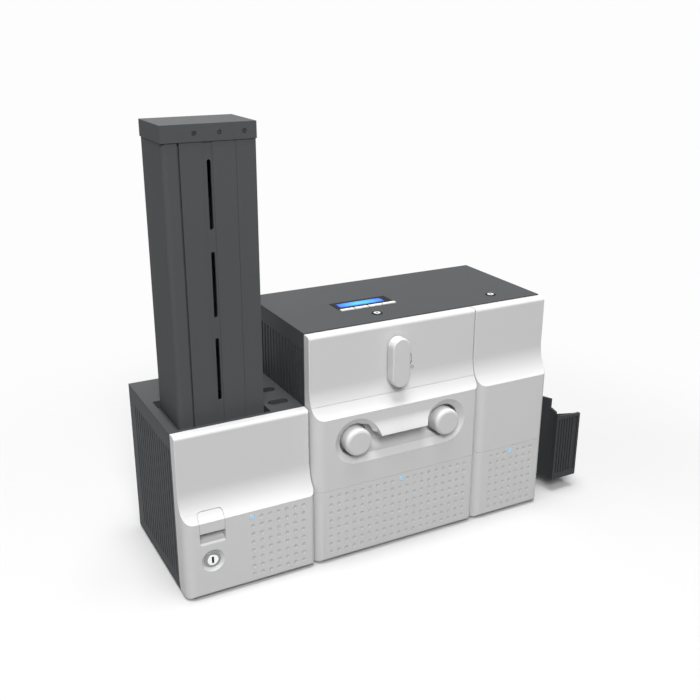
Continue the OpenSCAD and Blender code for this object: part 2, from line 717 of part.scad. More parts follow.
module printer_case() place() color(dark) difference() {
    union() {
        difference() {
            block([printer_x, 0, base_t + 6], [row_w, body_d, case_top]);
            block([printer_x + wall, -1, 0], [row_w - wall, body_d - wall, case_top + 1]);
        }
        for (x = cover_hinges) knuckle(x + hinge_gap, x + hinge_l - hinge_gap);
    }
    vent_row(printer_x, vent_foot, printer_h - vent_band);
    vent_row(row_w - wall, path_z + 40, printer_h - vent_band);
    // card slots in the two side walls
    for (x = [printer_x - 1, row_w - wall - 1])
        block([x, card_y0 - 3, path_z - 3], [x + wall + 2, card_y1 + 3, path_z + 3]);
    // slots for the stacker's hooks
    for (y = hook_ys)
        block([row_w - wall - 1, y - 3.5, hook_z - 0.3], [row_w + 1, y + 3.5, hook_z + 17]);
    // sockets, switch and fan at the back
    rear_hole(rear_x, inlet[0] / 2 + 0.2, inlet[1] / 2 + 0.2);
    rear_hole(switch_x, rocker[0] / 2 + 0.6, rocker[1] / 2 + 0.5);
    rear_hole(ports_x, ports[0] / 2 + 0.2, ports[1] / 2 + 0.2);
    for (r = [8:7:fan_r]) difference() {
        bar_y(drum_x, body_d - wall - 1, body_d + 1, fan_z, r);
        bar_y(drum_x, body_d - wall - 2, body_d + 2, fan_z, r - 4);
        for (a = [45, 135]) translate([drum_x, body_d, fan_z]) rotate([0, a, 0])
            cube([2 * fan_r + 8, 12, 4], center = true);
    }
}

module rear_hole(x, half_w, half_h)
    block([x - half_w, body_d - wall - 1, socket_z - half_h], [x + half_w, body_d + 1, socket_z + half_h]);

module knuckle(x0, x1) difference() {
    union() {
        bar_x(x0, x1, hinge_y, hinge_z, hinge_r);
        block([x0, body_d - wall + eps, hinge_z - hinge_r], [x1, hinge_y, hinge_z]);
    }
    bar_x(x0 - 1, x1 + 1, hinge_y, hinge_z, hinge_pin_r + fit);
}

module front_frame() place() color(dark) difference() {
    keeper_z = printer_h - cover_barrel + 0.5;
    union() {
        block([printer_x + wall, 0, base_t + 6], [row_w - wall, 3, case_top]);
        // keepers for the cams of the two cover locks
        for (x = locks_x) block([x + 9.6, 3 - eps, keeper_z], [x + 18, lock_y + 8, keeper_z + 2.5]);
    }
    block([cassette_l - 1, -1, path_z - 1], [cassette_r + 1, 4, joint_z - 3]);
    bar_y(lever_x, -1, 4, lever_z, lever_shaft_r + fit);
    for (x = [cassette_l - 10, cassette_r + 2]) block([x, -1, 30], [x + 8, 4, 70]);
    block([flipper_x + 16, -1, 24], [row_w - 16, 4, printer_h - 70]);
}

// Sizes of the mains inlet, the rocker and the data socket block, across and upright
inlet = [27, 20];
rocker = [13.2, 20.4];
ports = [35.6, 15.6];
module rear_sockets() place() color(black) {
    inlet_x = [rear_x - inlet[0] / 2, rear_x + inlet[0] / 2];
    ports_l = ports_x - ports[0] / 2;
    ports_r = ports_x + ports[0] / 2;
    difference() {
        union() {
            block([inlet_x[0], body_d - 22, socket_z - 10], [inlet_x[1], body_d, socket_z + 10]);
            block([inlet_x[0] - 2, body_d, socket_z - 12], [inlet_x[1] + 2, body_d + 1.5, socket_z + 12]);
        }
        block([inlet_x[0] + 2, body_d - 15, socket_z - 8], [inlet_x[1] - 2, body_d + 2, socket_z + 8]);
    }
    for (p = [[-6, 2], [0, -3], [6, 2]])
        block([rear_x + p[0] - 1, body_d - 16, socket_z + p[1] - 2],
              [rear_x + p[0] + 1, body_d - 3, socket_z + p[1] + 2]);
    // housing that the rocker turns in
    difference() {
        block([switch_x - 9, body_d - 20, socket_z - 13], [switch_x + 9, body_d - wall, socket_z + 13]);
        block([switch_x - 6.9, body_d - 17, socket_z - 10.7], [switch_x + 6.9, body_d, socket_z + 10.7]);
        bar_x(switch_x - 8.2, switch_x + 8.2, rocker_y, socket_z, 1.5 + fit);
    }
    // a square and a wide data socket
    difference() {
        union() {
            block([ports_l, body_d - 16, socket_z - ports[1] / 2],
                  [ports_r, body_d + eps, socket_z + ports[1] / 2]);
            block([ports_l - 1.7, body_d, socket_z - 9.5], [ports_r + 1.7, body_d + 1, socket_z + 9.5]);
        }
        block([ports_x - 14, body_d - 12, socket_z - 5.5], [ports_x - 2, body_d + 2, socket_z + 5.5]);
        block([ports_x + 2, body_d - 12, socket_z - 6.5], [ports_x + 16, body_d + 2, socket_z + 6.5]);
    }
}

rocker_y = body_d - 5;
rocker_tilt = 7;
// Rocker with a hollow face that tips about two stub pins
module power_switch() place() color("#1c1d1f")
    translate([switch_x, rocker_y, socket_z]) rotate([rocker_tilt, 0, 0]) {
        half_w = rocker[0] / 2;
        half_h = rocker[1] / 2;
        intersection() {
            block([-half_w, -3.5, -half_h], [half_w, 9, half_h]);
            difference() {
                bar_x(-half_w, half_w, 0, 0, half_h);
                bar_x(-7, 7, 33.5, 0, 28);
            }
        }
        bar_x(-8, 8, 0, 0, 1.5);
    }

// ---- Top cover, display, buttons and locks ----------------------------------------

cover_front = 0.6;
lock_y = 25.8;
locks_x = [cassette_x - 5.5, drum_x - 2.6];
bezel_x = cassette_x - 39;
bezel_y = 57;
bezel_sink = 1.4;
button_pitch = button_w + button_gap;
button_y = bezel_y - 2.4 - button_d;
button_x = bezel_x + (bezel_w - 3 * button_pitch - button_w) / 2;
cover_barrel = 20;
module top_cover() place() color(dark) difference() {
    rib = 2.4;
    rib_x = [printer_x + wall + 1, row_w - wall - 1];
    tab_w = hinge_gap - 0.4;
    union() {
        block([printer_x, cover_front, case_top], [row_w, body_d, printer_h]);
        difference() {
            block([rib_x[0], 5, case_top - 5], [rib_x[1], body_d - wall - 1, case_top + eps]);
            block([rib_x[0] + rib, 5 + rib, case_top - 6],
                  [rib_x[1] - rib, body_d - wall - 1 - rib, case_top]);
        }
        for (x = cover_hinges) for (k = [x, x + hinge_l - tab_w]) {
            bar_x(k, k + tab_w, hinge_y, hinge_z, hinge_r);
            along_x(k, k + tab_w, [[body_d - eps, case_top + 0.1], [body_d - eps, printer_h - 1],
                                   [hinge_y + 1, hinge_z + hinge_r - 0.2], [hinge_y, hinge_z]]);
        }
    }
    for (x = cover_hinges) bar_x(x - 2, x + hinge_l + 2, hinge_y, hinge_z, hinge_pin_r + fit);
    block([bezel_x + 2, bezel_y + 2, case_top - 1],
          [bezel_x + bezel_w - 2, bezel_y + bezel_d - 2, printer_h + 1]);
    block([bezel_x, bezel_y, printer_h - bezel_sink],
          [bezel_x + bezel_w, bezel_y + bezel_d, printer_h + 1]);
    block([button_x - 0.3, button_y - 0.3, case_top - 1],
          [button_x + 3 * button_pitch + button_w + 0.3, button_y + button_d + 0.3, printer_h + 1]);
    for (x = locks_x) bar_z(x, lock_y, case_top - 1, printer_h + 1, cover_barrel_r + fit);
}

// The bezel's frame is wider on the right of the glass than on its left
glass_lo = [bezel_x + 6, bezel_y + 4.6];
glass_hi = [bezel_x + bezel_w - 9, bezel_y + bezel_d - 3.6];
module display_bezel() place() color(black) difference() {
    union() {
        block([bezel_x + 0.2, bezel_y + 0.2, printer_h - bezel_sink],
              [bezel_x + bezel_w - 0.2, bezel_y + bezel_d - 0.2, printer_h + 0.4]);
        block([bezel_x + 2.2, bezel_y + 2.2, printer_h - 9],
              [bezel_x + bezel_w - 2.2, bezel_y + bezel_d - 2.2, printer_h - 1]);
    }
    block([glass_lo[0], glass_lo[1], printer_h - 1], [glass_hi[0], glass_hi[1], printer_h + 1]);
}

module display_glass() place() color("#2b5fd0")
    block([glass_lo[0] + 0.1, glass_lo[1] + 0.1, printer_h - 1],
          [glass_hi[0] - 0.1, glass_hi[1] - 0.1, printer_h + 0.1]);

// A key bar with a flange below the cover that stops it from lifting out
module button(i) place() color("#eeeeee") {
    x = button_x + i * button_pitch;
    block([x, button_y, case_top - 1.5],
          [x + button_w, button_y + button_d, printer_h + button_travel + 0.4]);
    block([x, button_y - 1.2, case_top - 2],
          [x + button_w, button_y + button_d + 1.2, case_top - 0.3]);
}
module button_1() button(0);
module button_2() button(1);
module button_3() button(2);
module button_4() button(3);

module cover_lock_bodies() place() color(black) for (x = locks_x) on_cover(x)
    lock_barrel(cover_barrel_r + 0.9, 0.5, cover_barrel, cover_barrel_r, cover_plug_r);
module cover_plug(x) place() color("#e4e4e2") on_cover(x)
    lock_plug(cover_plug_r, 0.8, cover_barrel + 0.5, 14);
module printer_lock_plug() cover_plug(locks_x[0]);
module flipper_lock_plug() cover_plug(locks_x[1]);

// ---- Printer fronts ----------------------------------------------------------------

module upper_panel() place() color(white) difference() {
    front_shell(printer_x, printer_w, ledge_z, front_top, joint_z + seam / 2, front_top);
    bar_y(lever_x, -step_out, 1, lever_z, lever_shaft_r + 0.6);
}

module printer_lower_panel() place() color(white) difference() {
    front_shell(printer_x, printer_w, ledge_z, front_top, 0, step_z - seam / 2);
    led_window(cassette_x);
}

flipper_led_x = drum_x + 2;
module flipper_lower_panel() place() color(white) difference() {
    front_shell(flipper_x, flipper_w, ledge_z, front_top, 0, step_z - seam / 2);
    led_window(flipper_led_x);
}

module flipper_front() place() color(white)
    front_shell(flipper_x, flipper_w, ledge_z, front_top, step_z + seam / 2, front_top);

module panel_leds() place() color("#9fd2f5") {
    led(cassette_x);
    led(flipper_led_x);
}

// ---- Lever and print head ----------------------------------------------------------

lever_back = min(-face_out - 2.2, sweep_y(lever_z - lever_l, ledge_z) - 0.6);
lever_face = -step_out;
// Pill-shaped lever with a bevelled front edge
module head_lever() place() color(white) {
    bevel = 1.2;
    h = lever_l - lever_r;
    rim = lever_face + bevel;
    for (z = [lever_z - h, lever_z + h]) {
        bar_y(lever_x, rim - eps, lever_back, z, lever_r);
        cone_y(lever_x, lever_face, rim, z, lever_r - bevel, lever_r);
    }
    block([lever_x - lever_r, rim - eps, lever_z - h], [lever_x + lever_r, lever_back, lever_z + h]);
    translate([0, 0, lever_z - h]) linear_extrude(2 * h)
        polygon([[lever_x - lever_r, rim], [lever_x - lever_r + bevel, lever_face],
                 [lever_x + lever_r - bevel, lever_face], [lever_x + lever_r, rim]]);
}

cam_r = 8;
cam_y0 = path_y - 6;
cam_y1 = path_y + 6;
rear_y = card_y1 + 9.7;
bearing_ys = [6, rear_y];
// An involute cam: under a flat follower its reach grows evenly over a quarter turn
cam_rate = head_drop / (PI / 2);
function cam_point(a) = let (h = cam_r + head_drop * a / 90)
    [h * sin(a) + cam_rate * cos(a), cam_rate * sin(a) - h * cos(a)];
module lever_shaft() place() color(steel) {
    bar_y(lever_x, lever_back - eps, rear_y + 9, lever_z, lever_shaft_r);
    translate([lever_x, cam_y1, lever_z]) rotate([90, 0, 0]) linear_extrude(cam_y1 - cam_y0)
        polygon(concat([for (a = [0:6:90]) cam_point(a)],
                       [for (a = [60:12:264]) [cam_r * cos(a), cam_r * sin(a)]]));
}

beam_z = lever_z - 32.7;
beam_half = 24;
rod_r = 3;
rod_ys = [card_y0 + 7, card_y1 - 7];
module head_beam() place() color(steel) difference() {
    union() {
        block([lever_x - beam_half, 3, beam_z], [lever_x + beam_half, body_d - wall, beam_z + 3]);
        for (y = bearing_ys)
            block([lever_x - 12, y, beam_z + 3 - eps], [lever_x + 12, y + 8, lever_z + 10]);
        for (y = rod_ys) bar_z(lever_x, y, beam_z - 5, beam_z + 5, 7);
    }
    bar_y(lever_x, 0, body_d, lever_z, lever_shaft_r + fit);
    for (y = rod_ys) bar_z(lever_x, y, beam_z - 6, beam_z + 6, rod_r + fit);
}

yoke_top = lever_z - cam_r - 0.1;
head_low = path_z + 0.9 + head_drop;
carriage_z = head_low + 34;
cheek_ys = [card_y0 - 4, card_y1 + 1];
module head_carriage() place() color(steel) {
    for (y = rod_ys) bar_z(lever_x, y, carriage_z + 6, yoke_top - 3 + eps, rod_r);
    block([lever_x - 8, rod_ys[0] - 6, yoke_top - 3], [lever_x + 8, rod_ys[1] + 6, yoke_top]);
    block([lever_x - 16, cheek_ys[0], carriage_z],
          [lever_x + 16, cheek_ys[1] + side_t, carriage_z + 6 + eps]);
    for (y = cheek_ys)
        block([lever_x - 16, y, head_low + 14], [lever_x + 16, y + side_t, carriage_z + eps]);
}

// Heat sink with fins above the ceramic bar that prints
module print_head() place() color("#8d9196") {
    fins = 6;
    w = 24;
    fin_t = 2;
    y0 = card_y0 - 0.8;
    y1 = card_y1 + 0.8;
    block([lever_x - w / 2, y0, head_low + 16], [lever_x + w / 2, y1, head_low + 20]);
    for (i = [0:fins - 1]) let (x = lever_x - w / 2 + i * (w - fin_t) / (fins - 1))
        block([x, y0, head_low + 20 - eps], [x + fin_t, y1, carriage_z]);
    translate([lever_x, 0, head_low])
        along_y(y0, y1, [[-9, 16 + eps], [9, 16 + eps], [6, 5], [2, 0], [-2, 0], [-6, 5]]);
}

// ---- Ribbon cassette ---------------------------------------------------------------

spool_xs = [cassette_x - spool_x, cassette_x + spool_x];
core_back = -3;
bore_floor = -5.4;
lip_z = spool_z + 3;
blend_z = spool_z + 20.3;
lip_t = 3;
sill_y = -step_out + dish_d;
sill_z = spool_z - knob_hole_r;
pocket_floor_r = 11;
pocket_top = lip_z + 14;
// Pull lip: leaves the face tangentially at blend_z and stands out most at its lower edge
module pull_lip() difference() {
    along_x(spool_xs[0], spool_xs[1], concat(
        [[-step_out + 1, lip_z], [-step_out + 1, blend_z]],
        [for (i = [0:9]) let (t = i / 9)
            [-step_out - lip_out * (2 * t * t - t * t * t), blend_z - t * (blend_z - lip_z)]]));
    for (x = spool_xs)
        cone_y(x, -step_out - lip_out - 1, -step_out + 2, spool_z, dish_r + 1, dish_r);
}

// The pull-out front: two knob wells in shallow dishes, joined by a dished sill and by the
// finger pocket behind it, under the lip that one pulls
module cassette_front() place() color(white) difference() {
    union() {
        front_shell(printer_x, printer_w, ledge_z, front_top, step_z + seam / 2, joint_z - seam / 2);
        intersection() {
            front_block(printer_x, printer_w, ledge_z, front_top, step_z + seam / 2,
                        joint_z - seam / 2, 0.5, 0);
            union() {
                for (x = spool_xs) bar_y(x, -step_out, core_back, spool_z, dish_r + 2);
                block([spool_xs[0], -step_out, spool_z - dish_r - 2],
                      [spool_xs[1], core_back, pocket_top + 3]);
            }
        }
        pull_lip();
    }
    for (x = spool_xs) {
        cone_y(x, -step_out - eps, sill_y, spool_z, dish_r + eps, knob_hole_r);
        bar_y(x, sill_y - eps, bore_floor, spool_z, knob_hole_r);
        bar_y(x, bore_floor - 1, 1, spool_z, shaft_r + fit);
    }
    along_x(spool_xs[0], spool_xs[1], concat(
        [[-step_out - lip_out - 1, spool_z - dish_r - 1], [-step_out, spool_z - dish_r]],
        arc(sill_y, sill_z + pocket_floor_r, pocket_floor_r, 270, 360, 8),
        [[sill_y + pocket_floor_r, pocket_top], [-step_out + lip_t, pocket_top],
         [-step_out + lip_t, lip_z + 4], [-step_out - lip_out - 1, lip_z - 0.6]]));
}

strip_top = head_low - 1;
arm_z = [spool_z + 6.8, ledge_z + 6.4];
module cassette_frame() place() color(black) {
    ear = 9;
    t = 3;
    rear_out = rear_y + t;
    difference() {
        union() {
            block([cassette_l, core_back, path_z + 4], [cassette_r, 0, joint_z - 4]);
            for (x = [cassette_l, cassette_r - t])
                block([x, -eps, arm_z[0]], [x + t, rear_out, arm_z[1]]);
            block([cassette_l, rear_y, path_z + 14], [spool_xs[0] + ear, rear_out, arm_z[1]]);
            block([spool_xs[1] - ear, rear_y, path_z + 14], [cassette_r, rear_out, arm_z[1]]);
            block([spool_xs[0], rear_y, strip_top - 5], [spool_xs[1], rear_out, strip_top]);
            for (x = [spool_xs[0], spool_xs[1] - 6])
                block([x, rear_y, strip_top - 5], [x + 6, rear_out, path_z + 15]);
            for (x = film_bars) {
                bar_y(x, core_back, rear_out, film_z + 2.1, 2);
                block([x - 3, rear_y, film_z + 1], [x + 3, rear_out, strip_top]);
                block([x - 3, core_back, film_z + 1], [x + 3, 0, path_z + 5]);
            }
        }
        for (x = spool_xs) bar_y(x, core_back - 1, rear_out + 1, spool_z, shaft_r + fit);
    }
}

// Film from the supply roll under two bars to the take-up roll
film_z = path_z + 0.6;
film_t = 0.25;
film_bars = [lever_x - 35, lever_x + 35];
module ribbon_film() place() color("#23324e") {
    xs = [spool_xs[0] + 6, film_bars[0] - 1.3, film_bars[1] + 1.3, spool_xs[1] - 6];
    za = spool_z - ribbon_r - 1.5;
    zb = spool_z - used_r - 1.5;
    along_y(card_y0 - 2, card_y1 + 2, [
        [xs[0], za - film_t], [xs[1], film_z - film_t], [xs[2], film_z - film_t], [xs[3], zb - film_t],
        [xs[3], zb], [xs[2], film_z], [xs[1], film_z], [xs[0], za]]);
}

// Knob, shaft and core turn as one with the ribbon wound on them
core_r = 10;
module knob(x) {
    step = knob_round / 3;
    bar_y(x, -knob_out + knob_round, bore_floor - 0.6, spool_z, knob_r);
    cone_y(x, -knob_out + step, -knob_out + knob_round + eps, spool_z, knob_r - step, knob_r);
    cone_y(x, -knob_out, -knob_out + step + eps, spool_z, knob_r - knob_round, knob_r - step);
    bar_y(x, bore_floor - 1, rear_y + 3, spool_z, shaft_r);
    bar_y(x, card_y0 - 6.3, card_y1 + 5.7, spool_z, core_r);
}
module supply_knob() place() color(white) knob(spool_xs[0]);
module takeup_knob() place() color(white) knob(spool_xs[1]);
module roll(x, r) difference() {
    bar_y(x, card_y0 - 3, card_y1 + 3, spool_z, r);
    bar_y(x, card_y0 - 4, card_y1 + 4, spool_z, core_r + fit);
}
module supply_ribbon() place() color("#23324e") roll(spool_xs[0], ribbon_r);
module takeup_ribbon() place() color("#23324e") roll(spool_xs[1], used_r);

// ---- Card transport ----------------------------------------------------------------

roller_r = 8;
roller_z = path_z - roller_r;
platen_x = lever_x;
feed_gap = 74;
infeed_x = platen_x - feed_gap;
outfeed_x = platen_x + feed_gap;
front_plate = card_y0 - 8;
rear_plate = card_y1 + 5;
pinch_r = 4.5;
pinch_pin = 2;
pinch_z = path_z + 1 + pinch_r;
pulley_r = 9;
feed_motor_y = rear_plate + 18;
module transport_frame() place() color(steel) difference() {
    bracket_y = feed_motor_y + motor_l;
    x0 = infeed_x - 14;
    x1 = outfeed_x + 14;
    far = rear_plate + side_t;
    union() {
        for (y = [front_plate, rear_plate]) {
            block([x0, y, base_t], [x1, y + side_t, path_z]);
            for (x = [infeed_x, outfeed_x])
                block([x - 5.5, y, path_z - eps], [x + 5.5, y + side_t, pinch_z + 4]);
        }
        for (x = [x0, x1 - side_t]) block([x, front_plate, base_t], [x + side_t, far, base_t + 20]);
        // bracket of the feed motor
        block([platen_x - 19, rear_plate, base_t], [platen_x + 19, bracket_y + side_t, base_t + 3]);
        block([platen_x - 19, bracket_y, base_t], [platen_x + 19, bracket_y + side_t, roller_z + 19]);
    }
    for (x = [infeed_x, platen_x, outfeed_x]) bar_y(x, front_plate - 1, far + 1, roller_z, shaft_r + fit);
    for (x = [infeed_x, outfeed_x]) bar_y(x, front_plate - 1, far + 1, pinch_z, pinch_pin + fit);
    for (x = [infeed_x + 25, platen_x - 25, platen_x + 25, outfeed_x - 25])
        bar_y(x, front_plate - 1, far + 1, 52, 20);
}

module feed_roller(x) {
    bar_y(x, front_plate - 3, rear_plate + (x == platen_x ? 25 : 17), roller_z, shaft_r);
    bar_y(x, front_plate + 5, rear_plate - 2, roller_z, roller_r);
    bar_y(x, rear_plate + 9, rear_plate + 15, roller_z, pulley_r);
    bar_y(x, rear_plate + 8.2, rear_plate + 9.4, roller_z, pulley_r + 2.6);
}
module infeed_roller() place() color(rubber) feed_roller(infeed_x);
module platen_roller() place() color(rubber) feed_roller(platen_x);
module outfeed_roller() place() color(rubber) feed_roller(outfeed_x);

module pinch_roller(x) {
    bar_y(x, front_plate - 1, rear_plate + 4, pinch_z, pinch_pin);
    bar_y(x, front_plate + 5, rear_plate - 2, pinch_z, pinch_r);
}
module pinch_roller_in() place() color(rubber) pinch_roller(infeed_x);
module pinch_roller_out() place() color(rubber) pinch_roller(outfeed_x);

module drive_belt() place() color(black) difference() {
    belt_loop(pulley_r + 1.9, rear_plate + 10, rear_plate + 14.6);
    belt_loop(pulley_r + 0.3, rear_plate + 9, rear_plate + 16);
}
module belt_loop(r, y0, y1) {
    for (x = [infeed_x, outfeed_x]) bar_y(x, y0, y1, roller_z, r);
    block([infeed_x, y0, roller_z - r], [outfeed_x, y1, roller_z + r]);
}

// ---- Flipper ------------------------------------------------------------------------

hub_r = 8;
disc_t = 3;
drum_front = card_y0 - 11;
drum_rear = card_y1 + 8;
module flipper_frame() place() color(steel) difference() {
    x0 = flipper_x + 3;
    x1 = row_w - 6;
    far = drum_rear + side_t;
    union() {
        for (y = [drum_front, drum_rear]) block([x0, y, base_t], [x1, y + side_t, path_z + 28]);
        for (x = [x0, x1 - side_t]) block([x, drum_front, base_t], [x + side_t, far, base_t + 30]);
    }
    bar_y(drum_x, drum_front - 2, far + 2, path_z, hub_r + fit);
    for (x = [drum_x - 28, drum_x + 28]) bar_y(x, drum_front - 2, far + 2, 56, 12);
}

// Two side discs on hubs, tied by bars, with two pairs of rollers that grip the card
module flipper_drum() place() color(black) {
    disc_ys = [card_y0 - 6, card_y1 + 3];
    bar_ys = [card_y0 - 3.2, card_y1 + 3.2];
    hole_at = 0.6 * drum_r;
    difference() {
        union() {
            for (y = disc_ys) bar_y(drum_x, y, y + disc_t, path_z, drum_r);
            bar_y(drum_x, drum_front - 2, disc_ys[0] + 1, path_z, hub_r);
            bar_y(drum_x, disc_ys[1] + 2, drum_rear + side_t, path_z, hub_r);
            bar_y(drum_x, drum_rear + 2, drum_rear + 14, path_z, shaft_r);
        }
        for (a = [60, 120, 240, 300])
            bar_y(drum_x + hole_at * cos(a), drum_front - 9, drum_rear + 9, path_z + hole_at * sin(a), 9);
    }
    for (x = [9 - drum_r, drum_r - 9]) for (z = [-14, 14])
        bar_y(drum_x + x, bar_ys[0], bar_ys[1], path_z + z, 3);
    for (x = [-20, 20]) for (z = [-6, 6]) {
        bar_y(drum_x + x, bar_ys[0], bar_ys[1], path_z + z, 2);
        bar_y(drum_x + x, card_y0 + 2, card_y1 - 2, path_z + z, 5.5);
    }
}

// ---- Output stacker -----------------------------------------------------------------

tray_x = row_w + stacker_gap;
tray_r = tray_x + stacker_w;
tray_w = 2.5;
plate_gap = 0.5;
tray_f = -15;
tray_b = card_y1 + 7.7;
rim_w = 3;
rib_w = 2;
rib_d = 1.8;
stacker_high = stacker_low + guard_rise;
stacker_left = row_w + plate_gap;
// Plan of the tray, moved inwards by i: a square front, then a wall that slants to the flipper
function tray_plan(i) = [
    [tray_x + i, tray_f + i], [tray_r - i, tray_f + i], [tray_r - i, tray_b - i],
    [stacker_left + i, tray_b - i], [stacker_left + i, 27 + i * 0.6],
    [tray_x - 5 + i * 0.7, 10 + i * 0.8], [tray_x + i, -2 + i * 0.3]];

module output_stacker() place() color("#3a3d41") {
    difference() {
        union() {
            difference() {
                translate([0, 0, stacker_z]) linear_extrude(stacker_high - stacker_z)
                    polygon(tray_plan(0));
                translate([0, 0, stacker_z + 3]) linear_extrude(stacker_high) polygon(tray_plan(tray_w));
            }
            block([tray_x + 0.5, tray_f + 1, stacker_z],
                  [tray_r - 0.5, tray_f + tray_w + rib_d, stacker_low]);
        }
        stacker_cuts();
        // panel between the ribs, sunk inside its frame
        block([tray_x + rim_w, tray_f - 1, stacker_z + 8],
              [tray_r - rim_w, tray_f + rib_d, stacker_low - rim_w]);
    }
    rib_count = floor((stacker_w - 2 * rim_w - rib_w) / rib_pitch);
    for (i = [1:rib_count]) let (x = tray_x + rim_w + i * rib_pitch - rib_w)
        block([x, tray_f + 0.2, stacker_z + 8 - eps],
              [x + rib_w, tray_f + rib_d + eps, stacker_low - rim_w + eps]);
    for (y = hook_ys) {
        block([row_w - wall - 3, y - 3, hook_z], [stacker_left + eps, y + 3, hook_z + 4]);
        block([row_w - wall - 3, y - 3, hook_z - 10], [row_w - wall - 0.4, y + 3, hook_z + 4]);
    }
}

// The rim falls from the guard to the front corner, then to the right, and slopes to the back
module stacker_cuts() {
    over = stacker_high + 1;
    corner_z = stacker_low + corner_rise;
    front_in = tray_f + tray_w + rib_d;
    slope = 0.45;
    along_y(tray_f - 1, front_in, [[tray_x - 1, corner_z + 0.6], [tray_x + 4.6, stacker_low + 3],
                                   [tray_r + 1, stacker_low], [tray_r + 1, over], [tray_x - 1, over]]);
    along_x(tray_x - 6, tray_x + 4.6, [
        [tray_f - 1, corner_z], [0, corner_z + 3.6], [0, over], [tray_f - 1, over]]);
    along_x(tray_x + tray_w, tray_r + 1, [
        [front_in - eps, stacker_low - 1], [tray_b + 1, stacker_low - 1 - slope * (tray_b - front_in)],
        [tray_b + 1, over], [front_in - eps, over]]);
    along_x(stacker_left + tray_w, tray_x + tray_w + eps, [
        [30, stacker_low - 1 - slope * (30 - front_in)],
        [tray_b + 1, stacker_low - 1 - slope * (tray_b - front_in)], [tray_b + 1, over], [30, over]]);
    // cards come in over the wall beside the flipper
    block([row_w, 30, path_z - 6], [stacker_left + tray_w + eps, card_y1 + 4.7, over]);
}

base_trays();
hopper_case();
hopper_deck();
hopper_door();
hinge_pins();
door_latch();
door_lock_body();
door_lock_plug();
hopper_led();
card_cartridge();
cartridge_front();
cartridge_cap();
cap_screws();
card_weight();
card_stack();
pick_frame();
pick_roller();
motors();
feet();
printer_case();
front_frame();
top_cover();
display_bezel();
display_glass();
button_1();
button_2();
button_3();
button_4();
cover_lock_bodies();
printer_lock_plug();
flipper_lock_plug();
upper_panel();
head_lever();
lever_shaft();
head_beam();
head_carriage();
print_head();
cassette_front();
cassette_frame();
supply_knob();
takeup_knob();
supply_ribbon();
takeup_ribbon();
ribbon_film();
printer_lower_panel();
panel_leds();
transport_frame();
infeed_roller();
platen_roller();
outfeed_roller();
pinch_roller_in();
pinch_roller_out();
drive_belt();
flipper_front();
flipper_lower_panel();
flipper_frame();
flipper_drum();
output_stacker();
rear_sockets();
power_switch();
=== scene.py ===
import json
import math

import bmesh
import bpy
from mathutils import Matrix, Vector

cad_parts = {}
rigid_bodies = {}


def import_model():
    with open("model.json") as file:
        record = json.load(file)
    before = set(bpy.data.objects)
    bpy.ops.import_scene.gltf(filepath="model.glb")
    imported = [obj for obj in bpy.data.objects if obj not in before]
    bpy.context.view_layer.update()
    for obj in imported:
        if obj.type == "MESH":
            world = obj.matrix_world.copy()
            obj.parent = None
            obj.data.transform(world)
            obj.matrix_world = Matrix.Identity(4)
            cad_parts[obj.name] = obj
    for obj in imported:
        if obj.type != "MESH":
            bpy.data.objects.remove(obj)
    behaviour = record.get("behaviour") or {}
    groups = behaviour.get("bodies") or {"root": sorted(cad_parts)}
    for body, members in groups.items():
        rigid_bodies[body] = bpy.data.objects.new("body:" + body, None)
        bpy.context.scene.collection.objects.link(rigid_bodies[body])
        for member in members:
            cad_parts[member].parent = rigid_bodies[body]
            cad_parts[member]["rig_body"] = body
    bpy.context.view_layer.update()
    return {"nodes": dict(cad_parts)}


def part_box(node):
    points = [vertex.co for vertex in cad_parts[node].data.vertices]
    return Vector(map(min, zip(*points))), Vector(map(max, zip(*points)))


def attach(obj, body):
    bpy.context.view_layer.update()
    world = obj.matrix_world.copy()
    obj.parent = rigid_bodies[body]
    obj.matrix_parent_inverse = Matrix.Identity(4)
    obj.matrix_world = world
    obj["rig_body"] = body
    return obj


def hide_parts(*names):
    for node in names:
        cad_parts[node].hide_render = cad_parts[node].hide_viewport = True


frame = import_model()


# Camera: a product shot from the hopper's side, a little above the top cover.
# The lens is 47.4 mm on a 36 mm sensor, and the frame is square.
camera = bpy.data.objects.new("camera", bpy.data.cameras.new("camera"))
bpy.context.scene.collection.objects.link(camera)
bpy.context.scene.camera = camera
camera.data.lens = 47.416
camera.data.sensor_width = 36
heading, height, tilt = (math.radians(a) for a in (-28.282, 20.295, 0.272))
turn = Matrix.Rotation(heading, 3, "Z") @ Matrix.Rotation(math.pi / 2 - height, 3, "X")
turn = turn @ Matrix.Rotation(tilt, 3, "Z")
stand = Vector((-0.51244, -0.902225, 0.59694))
camera.matrix_world = Matrix.Translation(stand) @ turn.to_4x4()
camera.data.clip_end = 60


# Studio: a matt pale paper floor that fades into a white surround. One wide soft box hangs
# high over the machine, and weaker ones stand in front, at the left and low behind.
def paint(code):
    """An sRGB hex colour as linear RGBA."""
    parts = [int(code[i:i + 2], 16) / 255 for i in (1, 3, 5)]
    return [c / 12.92 if c <= 0.04045 else ((c + 0.055) / 1.055) ** 2.4 for c in parts] + [1.0]


def add(tree, kind, values=None, links=None, **settings):
    """Adds a node to a tree, with its settings, its input values and the links into it."""
    node = tree.nodes.new(kind)
    for name, value in settings.items():
        setattr(node, name, value)
    for key, value in (values or {}).items():
        node.inputs[key].default_value = value
    for key, socket in (links or {}).items():
        tree.links.new(socket, node.inputs[key])
    return node


def blank(name):
    """A new material without nodes, and its tree."""
    material = bpy.data.materials.new(name)
    material.use_nodes = True
    material.node_tree.nodes.clear()
    return material, material.node_tree


def linked(name, data):
    """A new object of the scene that holds the data."""
    piece = bpy.data.objects.new(name, data)
    bpy.context.scene.collection.objects.link(piece)
    return piece


